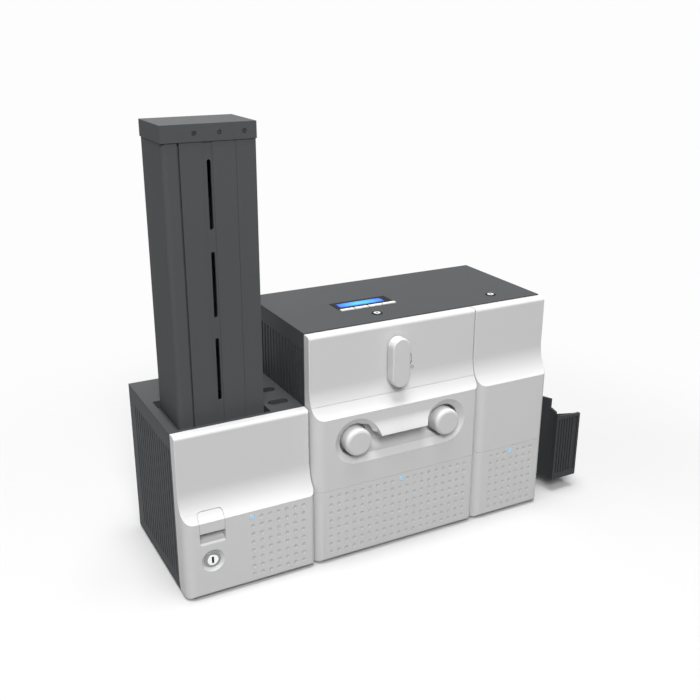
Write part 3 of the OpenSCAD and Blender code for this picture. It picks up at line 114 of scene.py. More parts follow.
def background_share(tree):
    """One where the camera, a mirror or a clear piece sees the surface, and nothing else."""
    path = add(tree, "ShaderNodeLightPath").outputs
    mirror = add(tree, "ShaderNodeMath", links={0: path["Is Camera Ray"], 1: path["Is Glossy Ray"]},
                 operation="MAXIMUM")
    return add(tree, "ShaderNodeMath", links={0: mirror.outputs[0], 1: path["Is Transmission Ray"]},
               operation="MAXIMUM").outputs[0]


# The paper is pale to the camera, a darker grey to the light that it bounces back, and turns
# into plain white away from the machine, so that no horizon shows.
paper, tree = blank("studio_paper")
bounce = add(tree, "ShaderNodeBsdfDiffuse", {"Color": paint("#7C7C7C")})
sheet = add(tree, "ShaderNodeBsdfDiffuse", {"Color": paint("#CDCDCD")})
backdrop = paint("#FDFDFD")
haze = add(tree, "ShaderNodeEmission", {"Color": backdrop})
fade_start, fade_end = 0.36, 0.75
place = add(tree, "ShaderNodeTexCoord").outputs["Object"]
away = add(tree, "ShaderNodeVectorMath", links={0: place}, operation="LENGTH")
fade = add(tree, "ShaderNodeMapRange", {"From Min": fade_start, "From Max": fade_end},
           {"Value": away.outputs["Value"]}, interpolation_type="SMOOTHSTEP")
ground = add(tree, "ShaderNodeMixShader", links={0: fade.outputs[0], 1: sheet.outputs[0], 2: haze.outputs[0]})
seen = add(tree, "ShaderNodeMixShader", links={0: background_share(tree), 1: bounce.outputs[0],
                                               2: ground.outputs[0]})
add(tree, "ShaderNodeOutputMaterial", links={"Surface": seen.outputs[0]})
reach = 20
floor_mesh = bpy.data.meshes.new("floor")
floor_mesh.from_pydata([(-reach, -reach, 0), (reach, -reach, 0), (reach, reach, 0), (-reach, reach, 0)],
                       [], [(0, 1, 2, 3)])
floor_mesh.materials.append(paper)
linked("floor", floor_mesh)

# Square soft boxes: the place and the point aimed at in metres, the side, and the power.
for name, place, aim, size, watts in (("overhead", (-0.15, -0.3, 7.0), (0, 0, 0.1), 2.9, 455),
                                      ("front", (-1.2, -2.9, 2.9), (0, 0, 0.15), 1.7, 131),
                                      ("left", (-2.8, 0.4, 1.8), (0, 0, 0.15), 1.6, 13),
                                      ("back", (0.3, 3.2, 0.45), (0, 0, 0.2), 1.4, 26)):
    lamp = bpy.data.lights.new(name, "AREA")
    lamp.size = size
    lamp.energy = watts
    soft_box = linked(name, lamp)
    soft_box.visible_camera = False
    soft_box.location = place
    soft_box.rotation_euler = (Vector(aim) - Vector(place)).to_track_quat("-Z", "Y").to_euler()

world = bpy.data.worlds.new("surround")
bpy.context.scene.world = world
world.use_nodes = True
tree = world.node_tree
tree.nodes.clear()
soft = add(tree, "ShaderNodeBackground", {"Color": paint("#FFFFFF"), "Strength": 0.16})
white = add(tree, "ShaderNodeBackground", {"Color": backdrop, "Strength": 1.0})
shown = add(tree, "ShaderNodeMixShader", links={0: background_share(tree), 1: soft.outputs[0],
                                                2: white.outputs[0]})
add(tree, "ShaderNodeOutputWorld", links={"Surface": shown.outputs[0]})
bpy.context.scene.view_settings.view_transform = "Standard"


# Base trays: one dark moulded tray under each module, the trays joined by docking lugs.
# Injection-moulded ABS with a spark-eroded grain, standing on twelve glued rubber feet.
def moulded(name, colour, grain, rough, relief=0.02, streak=0.03, shine=0.5):
    """Injection-moulded plastic: a fine eroded grain of so many millimetres, soft highlights
    as strong as shine says and a faint uneven tone from the flow of the melt."""
    flow_width = 90
    spread = 0.05
    material, tree = blank(name)
    place = add(tree, "ShaderNodeTexCoord").outputs["Object"]
    grains = add(tree, "ShaderNodeTexNoise", {"Scale": 1000 / grain, "Detail": 3.0, "Roughness": 0.6},
                 {"Vector": place})
    flow = add(tree, "ShaderNodeTexNoise", {"Scale": 1000 / flow_width, "Detail": 2.0}, {"Vector": place})
    base = paint(colour)
    tones = add(tree, "ShaderNodeMix", data_type="RGBA", links={"Factor": flow.outputs["Fac"]})
    tones.inputs["A"].default_value = [c * (1 - streak) for c in base[:3]] + [1]
    tones.inputs["B"].default_value = [min(c * (1 + streak), 1) for c in base[:3]] + [1]
    dull = add(tree, "ShaderNodeMapRange", {"To Min": rough - spread, "To Max": rough + spread},
               {"Value": grains.outputs["Fac"]})
    bump = add(tree, "ShaderNodeBump", {"Strength": 0.6, "Distance": relief / 1000},
               {"Height": grains.outputs["Fac"]})
    skin = add(tree, "ShaderNodeBsdfPrincipled", {"IOR": 1.5, "Specular IOR Level": shine},
               {"Base Color": tones.outputs["Result"], "Roughness": dull.outputs[0],
                "Normal": bump.outputs[0]})
    add(tree, "ShaderNodeOutputMaterial", links={"Surface": skin.outputs[0]})
    return material


def put(mesh, name, body, material=None, stands_for=()):
    """A finished piece from a mesh already in its place, on the body that carries it."""
    piece = linked(name, mesh)
    if material:
        mesh.materials.clear()
        mesh.materials.append(material)
    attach(piece, body)
    if stands_for:
        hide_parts(*stands_for)
    return piece


def settle(piece):
    """The evaluated mesh of a working object, which is then thrown away."""
    depsgraph = bpy.context.evaluated_depsgraph_get()
    mesh = bpy.data.meshes.new_from_object(piece.evaluated_get(depsgraph), depsgraph=depsgraph)
    bpy.data.objects.remove(piece)
    return mesh


def merged(node, name, flat=True):
    """A working copy of a CAD node, with its triangles joined into flat faces if flat says so."""
    same_point = 2e-6
    work = bmesh.new()
    work.from_mesh(frame["nodes"][node].data)
    bmesh.ops.remove_doubles(work, verts=work.verts, dist=same_point)
    if flat:
        bmesh.ops.dissolve_limit(work, angle_limit=math.radians(0.2), verts=work.verts,
                                 edges=work.edges)
    mesh = bpy.data.meshes.new(name)
    work.to_mesh(mesh)
    work.free()
    return linked(name, mesh)


def shaded(mesh, angle=40):
    """Smooth shading over the curves of a mesh, with its edges over that angle kept sharp."""
    mesh.polygons.foreach_set("use_smooth", [True] * len(mesh.polygons))
    mesh.set_sharp_from_angle(angle=math.radians(angle))
    piece = linked(mesh.name, mesh)
    normals = piece.modifiers.new("normals", "WEIGHTED_NORMAL")
    normals.keep_sharp = True
    return settle(piece)


def eased(node, radius, steps=2, flat=True):
    """The mesh of a CAD node with its sharp edges rounded by so many millimetres."""
    piece = merged(node, node + "_finished", flat)
    bevel = piece.modifiers.new("edges", "BEVEL")
    bevel.width = radius / 1000
    bevel.segments = steps
    bevel.limit_method = "ANGLE"
    bevel.angle_limit = math.radians(30)
    bevel.miter_outer = "MITER_ARC"
    return shaded(settle(piece), 50)


def dress(nodes, material, radius=0.4, steps=2, flat=True):
    """Replaces CAD nodes with eased copies of themselves in a material."""
    for node in nodes:
        put(eased(node, radius, steps, flat), node + "_finished", frame["nodes"][node]["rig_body"],
            material, [node])


def two_tone(node, materials, pick, radius=0.3, steps=1):
    """Replaces a CAD node with an eased copy whose faces take the material that pick names
    by its number, from a face's centre in millimetres from the node's lowest corner."""
    mesh = eased(node, radius, steps)
    mesh.materials.clear()
    for material in materials:
        mesh.materials.append(material)
    low = Vector(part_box(node)[0])
    for face in mesh.polygons:
        face.material_index = pick((face.center - low) * 1000)
    put(mesh, node + "_finished", frame["nodes"][node]["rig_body"], None, [node])


charcoal = moulded("charcoal_abs", "#424446", 0.8, 0.6, shine=0.12)
# Moulded rubber: near black, dull, with a crumbly surface of half a millimetre.
crumb_size = 0.5
rubber, tree = blank("moulded_rubber")
place = add(tree, "ShaderNodeTexCoord").outputs["Object"]
crumb = add(tree, "ShaderNodeTexNoise", {"Scale": 1000 / crumb_size, "Detail": 4.0}, {"Vector": place})
worn = add(tree, "ShaderNodeMix", data_type="RGBA", links={"Factor": crumb.outputs["Fac"]})
worn.inputs["A"].default_value = paint("#17181A")
worn.inputs["B"].default_value = paint("#26272A")
bump = add(tree, "ShaderNodeBump", {"Strength": 0.5, "Distance": 0.00003}, {"Height": crumb.outputs["Fac"]})
skin = add(tree, "ShaderNodeBsdfPrincipled", {"Roughness": 0.75, "IOR": 1.5},
           {"Base Color": worn.outputs["Result"], "Normal": bump.outputs[0]})
add(tree, "ShaderNodeOutputMaterial", links={"Surface": skin.outputs[0]})
dress(["base_trays"], charcoal)
dress(["feet"], rubber, 0.6)


# Hopper and printer casings: dark grained ABS boxes with moulded vent slots in their left
# walls. The deck drops into the hopper and forms the magazine's well and two finger cups.
dress(["hopper_case", "printer_case"], charcoal, 0.2, 1, flat=False)
deck_grey = moulded("deck_abs", "#424446", 0.8, 0.6, shine=0.1)
dress(["hopper_deck"], deck_grey, 0.6)
dress(["front_frame"], charcoal, 0.3, 1)


# Rear screws: black pan-head steel screws with a hexagon socket, driven into the casings'
# back walls, four in the hopper's and six in the printer's.
def repeat_tree():
    """Geometry nodes: copies of a piece on a grid of columns and rows, each moved by a
    little of its own that stays the same on every run."""
    tree = bpy.data.node_groups.new("repeated_piece", "GeometryNodeTree")
    tree.interface.new_socket("Geometry", in_out="OUTPUT", socket_type="NodeSocketGeometry")
    for name, kind in (("Piece", "Object"), ("Columns", "Int"), ("Rows", "Int"), ("Start", "Vector"),
                       ("Across", "Vector"), ("Up", "Vector"), ("Stray", "Vector"), ("Seed", "Int"),
                       ("Finish", "Material")):
        tree.interface.new_socket(name, in_out="INPUT", socket_type="NodeSocket" + kind)
    given = add(tree, "NodeGroupInput").outputs
    row = add(tree, "GeometryNodeMeshLine", mode="OFFSET",
              links={"Count": given["Columns"], "Start Location": given["Start"], "Offset": given["Across"]})
    pile = add(tree, "GeometryNodeMeshLine", mode="OFFSET",
               links={"Count": given["Rows"], "Offset": given["Up"]})
    grid = add(tree, "GeometryNodeInstanceOnPoints",
               links={"Points": row.outputs[0], "Instance": pile.outputs[0]})
    spots = add(tree, "GeometryNodeRealizeInstances", links={"Geometry": grid.outputs[0]})
    back = add(tree, "ShaderNodeVectorMath", {"Scale": -1.0}, {0: given["Stray"]}, operation="SCALE")
    stray = add(tree, "FunctionNodeRandomValue", links={"Min": back.outputs[0], "Max": given["Stray"],
                                                        "Seed": given["Seed"]}, data_type="FLOAT_VECTOR")
    moved = add(tree, "GeometryNodeSetPosition",
                links={"Geometry": spots.outputs[0], "Offset": stray.outputs[0]})
    piece = add(tree, "GeometryNodeObjectInfo", links={"Object": given["Piece"]})
    copies = add(tree, "GeometryNodeInstanceOnPoints", links={"Points": moved.outputs[0],
                                                              "Instance": piece.outputs["Geometry"]})
    real = add(tree, "GeometryNodeRealizeInstances", links={"Geometry": copies.outputs[0]})
    tinted = add(tree, "GeometryNodeSetMaterial",
                 links={"Geometry": real.outputs[0], "Material": given["Finish"]})
    add(tree, "NodeGroupOutput", links={"Geometry": tinted.outputs[0]})
    return tree


def repeated(name, mesh, finish, start, columns=1, across=(0, 0, 0), rows=1, up=(0, 0, 0), stray=(0, 0, 0)):
    """One plain mesh of copies of a mesh, from the point start, with its steps in metres."""
    seed_mesh = bpy.data.meshes.new(name)
    seed_mesh.from_pydata([(0, 0, 0)], [], [])
    piece = linked(name, seed_mesh)
    pattern = linked(name + "_pattern", mesh)
    grown = piece.modifiers.new("repeat", "NODES")
    grown.node_group = repeats
    sockets = {s.name: s.identifier for s in repeats.interface.items_tree if s.in_out == "INPUT"}
    for key, value in (("Piece", pattern), ("Columns", columns), ("Rows", rows), ("Start", start),
                       ("Across", across), ("Up", up), ("Stray", stray), ("Seed", 7), ("Finish", finish)):
        grown[sockets[key]] = value
    made = settle(piece)
    bpy.data.objects.remove(pattern)
    return made


def turned(name, profile, sides, socket=0):
    """A piece turned from (radius, height) pairs in millimetres, whose last rings, as many
    as socket says, form a hexagon socket. It stands on the xz plane and points along y."""
    work = bmesh.new()
    rings = []
    for i, (radius, level) in enumerate(profile):
        ring = []
        for k in range(sides):
            angle = 2 * math.pi * k / sides
            flat = math.cos(math.pi / 6) / math.cos(angle % (math.pi / 3) - math.pi / 6)
            r = radius * (flat if i >= len(profile) - socket else 1) / 1000
            ring.append(work.verts.new((r * math.cos(angle), r * math.sin(angle), level / 1000)))
        rings.append(ring)
    for lower, upper in zip(rings, rings[1:]):
        for k in range(sides):
            work.faces.new((lower[k], lower[(k + 1) % sides], upper[(k + 1) % sides], upper[k]))
    work.faces.new(rings[-1])
    work.faces.new(rings[0][::-1])
    bmesh.ops.transform(work, matrix=Matrix.Rotation(-math.pi / 2, 4, "X"), verts=work.verts)
    mesh = bpy.data.meshes.new(name)
    work.to_mesh(mesh)
    work.free()
    return shaded(mesh, 35)


def at(x, y, z):
    """A point given in millimetres from the hopper's left wall, the casings' front and the
    underside of the trays."""
    return (origin[0] + x / 1000, origin[1] + y / 1000, origin[2] + z / 1000)


repeats = repeat_tree()
origin = (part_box("hopper_case")[0][0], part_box("hopper_case")[0][1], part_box("base_trays")[0][2])
wall_back = (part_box("hopper_case")[1][1] - origin[1]) * 1000
# Blackened steel: a dark oxide film with a soft shine.
black_steel = moulded("blackened_steel", "#1B1C1E", 0.4, 0.34, relief=0.006, streak=0.1)
# The head's profile, with the socket as its last two rings.
pan_head = [(1.5, -0.4), (2.7, -0.3), (2.8, 0.3), (2.4, 0.9), (1.5, 1.2), (1.2, 1.2), (1.1, 0.4)]
lowest_screw = 22
# The first screw's x in millimetres, the columns, and the steps across and up in metres.
for name, first, columns, across, up in (("hopper_rear_screws", 9, 2, 0.134, 0.146),
                                         ("printer_rear_screws", 162, 3, 0.149, 0.22)):
    screw = turned("rear_screws", pan_head, 24, 2)
    put(repeated(name, screw, black_steel, at(first, wall_back, lowest_screw), columns, (across, 0, 0),
                 2, (0, 0, up)), name, "printer_body")


# Top cover: one dark lid over the printer and the flipper, hinged at the back on two steel pins. Same grained
# ABS as the casings, its colour made a little lighter all over as painted light for the light that grazes its
# top.
lid_grey_painted_light = moulded("cover_abs", "#444648", 0.8, 0.6, shine=0.1)
dress(["top_cover"], lid_grey_painted_light, 0.5)


# White fronts: light ABS mouldings with a concave sweep, held on the front frame by hidden
# clips. Rows of shallow round dimples are moulded in at a pitch of 10 mm.
def dimpled(node, grids):
    """An eased front with grids of dimples cut into its face. Each grid is given by its
    columns, its rows and the x and z of its first dimple in millimetres."""
    bowl_rings = 5
    front = linked(node + "_finished", eased(node, 0.5, 4))
    front.data.materials.clear()
    front.data.materials.append(front_white)
    bowl = [(dimple_radius, -0.4)]
    for i in range(bowl_rings):
        slope = dimple_slope * (1 - i / bowl_rings)
        bowl.append((ball_radius * math.sin(slope), ball_radius * (math.cos(slope) - math.cos(dimple_slope))))
    cutters = []
    for columns, rows, x, z in grids:
        start = Vector(at(x, 0, z))
        start.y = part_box(node)[0][1]
        # The cutters carry the dimples' darker white, painted shade, onto the cut faces.
        cutter = linked("dimples", repeated("dimples", turned("dimple", bowl, 16), dimple_white_painted_shade, start,
                                            columns, (dimple_pitch, 0, 0), rows, (0, 0, dimple_pitch)))
        cut = front.modifiers.new("dimples", "BOOLEAN")
        cut.operation = "DIFFERENCE"
        cut.object = cutter
        cut.solver = "EXACT"
        cut.material_mode = "TRANSFER"
        cutters.append(cutter)
    mesh = settle(front)
    for cutter in cutters:
        bpy.data.objects.remove(cutter)
    put(shaded(mesh, 22), node + "_finished", frame["nodes"][node]["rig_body"], None, [node])


front_white = moulded("white_abs", "#D0D0D0", 0.7, 0.46, relief=0.010, streak=0.008, shine=0.3)
# The dimples keep the coarser grain of the spark that sank them, and so look duller. Their colour is also a
# little darker than the face's, as painted shade in the hollows.
dimple_white_painted_shade = moulded("eroded_white_abs", "#C6C6C6", 0.4, 0.6, relief=0.014, streak=0.01, shine=0.1)
dimple_pitch = 0.010
dimple_radius = 2.6
# How steep a dimple is at its rim, and the radius of the ball that would make it.
dimple_slope = math.radians(30)
ball_radius = dimple_radius / math.sin(dimple_slope)
low_row = 10.7
top_row = 80.7
dimpled("hopper_door", [(7, 7, 77.4, low_row), (6, 1, 87.4, top_row)])
dimpled("printer_lower_panel", [(19, 7, 171.8, low_row), (9, 1, 171.8, top_row), (9, 1, 271.8, top_row)])
dimpled("flipper_lower_panel", [(7, 7, 391.8, low_row), (3, 1, 391.8, top_row), (3, 1, 431.8, top_row)])
dress(["upper_panel", "flipper_front"], front_white, 0.5)
dress(["door_latch"], front_white, 0.25)


# Status lights: small square light pipes of clear polycarbonate, pressed into the fronts,
# which glow pale blue when the machine is on.
cloud_size = 3
glow, tree = blank("light_pipe_polycarbonate")
place = add(tree, "ShaderNodeTexCoord").outputs["Object"]
cloud = add(tree, "ShaderNodeTexNoise", {"Scale": 1000 / cloud_size}, {"Vector": place})
tone = add(tree, "ShaderNodeMix", data_type="RGBA", links={"Factor": cloud.outputs["Fac"]})
tone.inputs["A"].default_value = paint("#8DB6D2")
tone.inputs["B"].default_value = paint("#A9CBE0")
skin = add(tree, "ShaderNodeBsdfPrincipled", {"Roughness": 0.25, "IOR": 1.58, "Emission Strength": 0.3},
           {"Base Color": tone.outputs["Result"], "Emission Color": tone.outputs["Result"]})
add(tree, "ShaderNodeOutputMaterial", links={"Surface": skin.outputs[0]})
dress(["hopper_led", "panel_leds"], glow, 0.3)


# Locks and pins: cam locks of bright plated zinc, their barrels in satin chrome, their keyways painted black
# as the shade inside them, and plain steel hinge pins.
def plated(name, colour, rough, brush=0.0):
    """Bare or plated metal: even tone, with fine lines along x where it was brushed."""
    long, fine = 30, 0.4
    material, tree = blank(name)
    place = add(tree, "ShaderNodeTexCoord").outputs["Object"]
    lines = add(tree, "ShaderNodeMapping", {"Scale": (1000 / long, 1000 / fine, 1000 / fine)},
                {"Vector": place})
    noise = add(tree, "ShaderNodeTexNoise", {"Scale": 1.0, "Detail": 2.0}, {"Vector": lines.outputs[0]})
    tone = add(tree, "ShaderNodeMix", data_type="RGBA", links={"Factor": noise.outputs["Fac"]})
    base = paint(colour)
    tone.inputs["A"].default_value = [c * (0.97 - brush) for c in base[:3]] + [1]
    tone.inputs["B"].default_value = [min(c * (1.03 + brush), 1) for c in base[:3]] + [1]
    dull = add(tree, "ShaderNodeMapRange", {"To Min": rough, "To Max": rough + 0.08 + brush},
               {"Value": noise.outputs["Fac"]})
    skin = add(tree, "ShaderNodeBsdfPrincipled", {"Metallic": 1.0},
               {"Base Color": tone.outputs["Result"], "Roughness": dull.outputs[0]})
    add(tree, "ShaderNodeOutputMaterial", links={"Surface": skin.outputs[0]})
    return material


nickel = plated("nickel_plated_zinc", "#F0F0EF", 0.42)
satin_chrome = plated("satin_chrome_zinc", "#8E9093", 0.3)
steel = plated("zinc_plated_sheet_steel", "#B4B8BC", 0.3, 0.08)
dress(["door_lock_body"], satin_chrome, 0.4)
# Black ABS for the black parts; the same black also stands as painted shade in the keyways.
black_plastic_and_keyway_shade = moulded("black_abs", "#1B1C1E", 0.6, 0.6, shine=0.08)
# The walls of the keyway, behind the plug's face, are painted black as the shade inside it.
keyway_x, keyway_z, keyway_depth = 6.1, 16, 9
two_tone("door_lock_plug", [nickel, black_plastic_and_keyway_shade],
         lambda p: int(0.2 < p.y < keyway_depth and abs(p.x - keyway_x) < 1.4 and abs(p.z - keyway_z) < 4),
         0.15)
dress(["hinge_pins"], steel, 0.2)


# Card magazine: a column of dark moulded ABS with a flat front plate, three sight slots in
# a sunk strip, and a cap fixed with three small black screws.
column_grey = moulded("magazine_abs", "#525455", 0.6, 0.7, relief=0.012, shine=0.06)
dress(["card_cartridge", "cartridge_front"], column_grey, 0.3, 1)
dress(["cartridge_cap"], column_grey, 0.6)
dress(["cap_screws"], black_steel, 0.2, 1)
dress(["card_weight"], black_plastic_and_keyway_shade, 0.3, 1)


# Card stack: blank white PVC cards, 0.76 mm thick with round corners, piled in the magazine
# so loosely that their edges don't quite line up.
def slab(name, outline, low, high):
    """A flat piece with an outline of (x, y) points, from one level up to another, in mm."""
    work = bmesh.new()
    rings = [[work.verts.new((x / 1000, y / 1000, z / 1000)) for x, y in outline] for z in (low, high)]
    count = len(outline)
    for k in range(count):
        work.faces.new((rings[0][k], rings[0][(k + 1) % count], rings[1][(k + 1) % count], rings[1][k]))
    work.faces.new(rings[0][::-1])
    work.faces.new(rings[1])
    mesh = bpy.data.meshes.new(name)
    work.to_mesh(mesh)
    work.free()
    return shaded(mesh, 35)


def round_rect(length, width, radius, steps=4):
    """The outline of a rectangle with rounded corners about its own centre."""
    points = []
    for quarter, (sx, sy) in enumerate(((1, 1), (-1, 1), (-1, -1), (1, -1))):
        for k in range(steps + 1):
            angle = math.pi / 2 * (quarter + k / steps)
            points.append((sx * (length / 2 - radius) + radius * math.cos(angle),
                           sy * (width / 2 - radius) + radius * math.sin(angle)))
    return points


pvc = moulded("card_pvc", "#E4E4E2", 0.5, 0.3, relief=0.004, streak=0.02)
stack_low, stack_high = (Vector(v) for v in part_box("card_stack"))
card_step = 0.00076
card_stray = 0.00015
card_corner = 3.18
edge_slack, face_gap = 0.4, 0.04
card_size = (stack_high - stack_low) * 1000
card = slab("card", round_rect(card_size.x - edge_slack, card_size.y - edge_slack, card_corner),
            0, card_step * 1000 - face_gap)
stack_mid = ((stack_low.x + stack_high.x) / 2, (stack_low.y + stack_high.y) / 2, stack_low.z)
put(repeated("card_pile", card, pvc, stack_mid, rows=int((stack_high.z - stack_low.z) / card_step),
             up=(0, 0, card_step), stray=(card_stray, card_stray, 0)),
    "card_pile", "card_magazine", None, ["card_stack"])


# Display: a black bezel let into the cover round a blue backlit window, whose blank cells
# just show, with four white keys in a row in front of it.
dress(["display_bezel"], black_plastic_and_keyway_shade, 0.3)
pane, tree = blank("display_glass")
place = add(tree, "ShaderNodeTexCoord").outputs["Object"]
glass_low, glass_high = (Vector(v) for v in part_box("display_glass"))
middle = (glass_low + glass_high) / 2
# The backlight's bright spot: one over its half width and half height in metres.
spot_x, spot_y = 26, 95
spread = add(tree, "ShaderNodeMapping", {"Location": (-middle.x * spot_x, -middle.y * spot_y, 0),
                                         "Scale": (spot_x, spot_y, 0)}, {"Vector": place})
spot = add(tree, "ShaderNodeTexGradient", links={"Vector": spread.outputs[0]}, gradient_type="SPHERICAL")
cells = add(tree, "ShaderNodeTexBrick", {"Scale": 1.0, "Mortar Size": 0.0003, "Brick Width": 0.00335,
                                         "Row Height": 0.0062, "Color1": paint("#FFFFFF"),
                                         "Color2": paint("#E8E8E8"), "Mortar": paint("#9A9A9A")},
            {"Vector": place}, offset=0.0)
lit = add(tree, "ShaderNodeMix", data_type="RGBA", links={"Factor": spot.outputs["Fac"]})
lit.inputs["A"].default_value = paint("#0828A0")
lit.inputs["B"].default_value = paint("#50B8F8")
screen = add(tree, "ShaderNodeMix", {"Factor": 0.5}, data_type="RGBA", blend_type="MULTIPLY",
             links={"A": lit.outputs["Result"], "B": cells.outputs["Color"]})
skin = add(tree, "ShaderNodeBsdfPrincipled",
           {"Roughness": 0.3, "Specular IOR Level": 0.08, "Emission Strength": 0.5},
           {"Base Color": screen.outputs["Result"], "Emission Color": screen.outputs["Result"]})
add(tree, "ShaderNodeOutputMaterial", links={"Surface": skin.outputs[0]})
dress(["display_glass"], pane, 0.1, 1)
key_white = moulded("key_abs", "#E6E6E4", 0.5, 0.32, relief=0.006)
dress(["button_1", "button_2", "button_3", "button_4"], key_white, 0.3)
dress(["cover_lock_bodies"], black_plastic_and_keyway_shade, 0.3)
# The locks' keyways, like the door's, are painted black behind the plug's face, as the shade inside them.
slot_x, slot_depth = 3.9, 6
for node in ("printer_lock_plug", "flipper_lock_plug"):
    face = (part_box(node)[1][2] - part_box(node)[0][2]) * 1000
    two_tone(node, [nickel, black_plastic_and_keyway_shade],
             lambda p, top=face: int(top - slot_depth < p.z < top - 0.2 and abs(p.x - slot_x) < 1), 0.12)


# Head and lever: a white lever on a steel shaft whose cam presses the carriage of the print
# head down its two guide rods; the head is a finned aluminium block with a ceramic bar.
dress(["head_lever"], front_white, 0.6, 3)
ground_steel = plated("ground_steel", "#C4C7CA", 0.2, 0.04)
dress(["lever_shaft", "head_carriage"], ground_steel, 0.2, 1)
dress(["head_beam"], steel, 0.3, 1)
alloy = plated("extruded_aluminium", "#B9BCBF", 0.34, 0.05)
# Ceramic: the glazed brown bar that carries the heating line.
ceramic = moulded("glazed_ceramic", "#4A3326", 0.3, 0.2, relief=0.003)
ceramic_top = 5.2
two_tone("print_head", [alloy, ceramic], lambda p: int(p.z < ceramic_top), 0.2)


# Lever's mark: a small turning arc with a barb and a ring, pad-printed in grey ink on the
# upper front, beside the lever that it explains.
def stroke(name, points, closed=False):
    """A flat printed line through (x, z) points in millimetres, on the upper panel."""
    width, thickness = 0.7, 0.12
    path = [Vector(p) for p in points]
    left, right = [], []
    for k, point in enumerate(path):
        before = path[k - 1] if k or closed else point
        after = path[(k + 1) % len(path)] if k < len(path) - 1 or closed else point
        along = (after - before).normalized()
        side = Vector((-along.y, along.x)) * width / 2
        left.append(point + side)
        right.append(point - side)
    work = bmesh.new()
    rings = []
    for level in (-thickness, thickness * 0.3):
        rings.append([[work.verts.new((p.x / 1000, level / 1000, p.y / 1000)) for p in edge]
                      for edge in (left, right)])
    (la, ra), (lb, rb) = rings
    count = len(path)
    for k in range(count if closed else count - 1):
        n = (k + 1) % count
        for quad in ((la[k], la[n], ra[n], ra[k]), (lb[k], rb[k], rb[n], lb[n]),
                     (la[k], lb[k], lb[n], la[n]), (ra[k], ra[n], rb[n], rb[k])):
            work.faces.new(quad)
    if not closed:
        work.faces.new((la[0], ra[0], rb[0], lb[0]))
        work.faces.new((la[-1], lb[-1], rb[-1], ra[-1]))
    bmesh.ops.recalc_face_normals(work, faces=work.faces)
    bmesh.ops.translate(work, verts=work.verts, vec=Vector(at(0, upper_face, 0)))
    mesh = bpy.data.meshes.new(name)
    work.to_mesh(mesh)
    work.free()
    return mesh


def round_path(x, z, radius, angles):
    """The (x, z) points on a circle, in millimetres, at angles in degrees."""
    return [(x + radius * math.cos(math.radians(a)), z + radius * math.sin(math.radians(a))) for a in angles]


upper_face = -12
# Grey pad-printing ink: flat, with the slight mottle of a thin coat.
ink = moulded("grey_print_ink", "#7E7F80", 0.4, 0.5, relief=0.002, streak=0.08)
arc = round_path(266, 224, 15.5, range(-24, 28, 4))
put(stroke("turning_arc", arc), "turning_arc", "printer_body", ink)
barb = [(277.2, 219.6), (280.3, 217.6), (282.2, 220.8)]
put(stroke("arc_barb", barb), "arc_barb", "printer_body", ink)
ring = round_path(282.6, 213.2, 1.7, range(0, 360, 24))
put(stroke("lock_ring", ring, closed=True), "lock_ring", "printer_body", ink)


# Ribbon cassette: a black carrier behind its white front, with two knobs, and two spools of
# dark ribbon film between them.
dress(["cassette_front"], front_white, 0.5)
dress(["supply_knob", "takeup_knob"], front_white, 0.4)
dress(["cassette_frame"], black_plastic_and_keyway_shade, 0.3, 1)
film = moulded("ribbon_pet", "#22304A", 2.0, 0.16, relief=0.004)
dress(["supply_ribbon", "takeup_ribbon", "ribbon_film"], film, 0.1, 1)


# Card transport: sheet-steel side plates that carry rubber-covered rollers on ground steel
# shafts, driven by a toothed rubber belt.
dress(["transport_frame", "pick_frame"], steel, 0.2, 1)
# Where the rubber starts and ends along each shaft.
card_sleeve = (7.9, 67.1)
pick_sleeve = (17, 47)
for node, sleeve in (("infeed_roller", card_sleeve), ("platen_roller", card_sleeve),
                     ("outfeed_roller", card_sleeve), ("pinch_roller_in", card_sleeve),
                     ("pinch_roller_out", card_sleeve), ("pick_roller", pick_sleeve)):
    radius = (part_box(node)[1][0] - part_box(node)[0][0]) * 500
    two_tone(node, [ground_steel, rubber],
             lambda p, r=radius, s=sleeve: int(s[0] < p.y < s[1] and math.hypot(p.x - r, p.z - r) > 0.3 * r),
             0.2)
dress(["drive_belt"], rubber, 0.2, 1)
belt_low, belt_high = (Vector(v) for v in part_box("drive_belt"))
belt_r = (belt_high.z - belt_low.z) / 2
belt_run = belt_high.x - belt_low.x - 2 * belt_r
tooth_pitch = 0.002
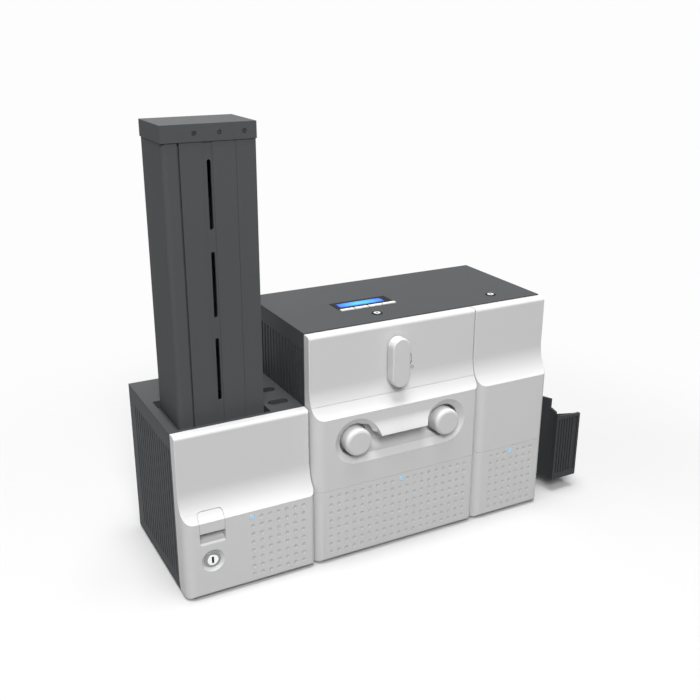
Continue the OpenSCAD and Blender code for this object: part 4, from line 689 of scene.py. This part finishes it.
# Square teeth inside the belt, whose middles lie this far from its outer face, in metres.
tooth_depth = 0.0021
tooth_outline = [(-0.5, 0), (0.5, 0), (0.5, 4.2), (-0.5, 4.2)]
for name, level in (("belt_teeth_upper", belt_high.z - tooth_depth),
                    ("belt_teeth_lower", belt_low.z + tooth_depth)):
    put(repeated(name, slab("tooth", tooth_outline, -0.5, 0.5), rubber,
                 (belt_low.x + belt_r, belt_low.y + 0.0002, level), int(belt_run / tooth_pitch),
                 (tooth_pitch, 0, 0)), name, "printer_body")


# Flipper: two black moulded discs tied by bars, a drum that turns a card over. It runs on
# hubs in a frame of sheet steel.
dress(["flipper_frame"], steel, 0.2, 1)
dress(["flipper_drum"], black_plastic_and_keyway_shade, 0.3, 1)


# Motors: three square stepping motors, screwed to the rear of the frames. Their laminated
# middles are blackened steel, between end bells of bright cast aluminium.
motor_low = Vector(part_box("motors")[0])
motors = frame["nodes"]["motors"].data
half_motor = 0.02
# The x of each motor's shaft and the y of its rear face, from the lowest corner.
bells = []
for node in ("pick_roller", "platen_roller", "flipper_drum"):
    centre = (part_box(node)[0][0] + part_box(node)[1][0]) / 2
    rear = max(v.co.y for v in motors.vertices if abs(v.co.x - centre) < half_motor)
    bells.append(((centre - motor_low.x) * 1000, (rear - motor_low.y) * 1000))


def laminated(p):
    """One between the end bells of the motor that a point belongs to, and nought elsewhere."""
    stack_front, stack_back = 26, 8
    rear = min(bells, key=lambda bell: abs(bell[0] - p.x))[1]
    return int(rear - stack_front < p.y < rear - stack_back)


two_tone("motors", [alloy, black_steel], laminated, 0.4)


# Output stacker: a ribbed dark tray, moulded in one piece of grained ABS, that hangs by two
# hooks on the flipper's side wall.
stacker_grey = moulded("stacker_abs", "#404244", 0.6, 0.6, shine=0.12)
dress(["output_stacker"], stacker_grey, 0.3, 1)


# Sockets and power switch at the back: a black moulded inlet with three bright pins, two data
# sockets and a rocker, all snapped into the casing's back wall.
pin_x = (9.5, 15.5, 21.5)
pin_half = 1.1
two_tone("rear_sockets", [black_plastic_and_keyway_shade, nickel],
         lambda p: int(8 < p.z < 18 and 5.5 < p.y < 19.2 and min(abs(p.x - x) for x in pin_x) < pin_half),
         0.2)
dress(["power_switch"], black_plastic_and_keyway_shade, 0.3, 1)
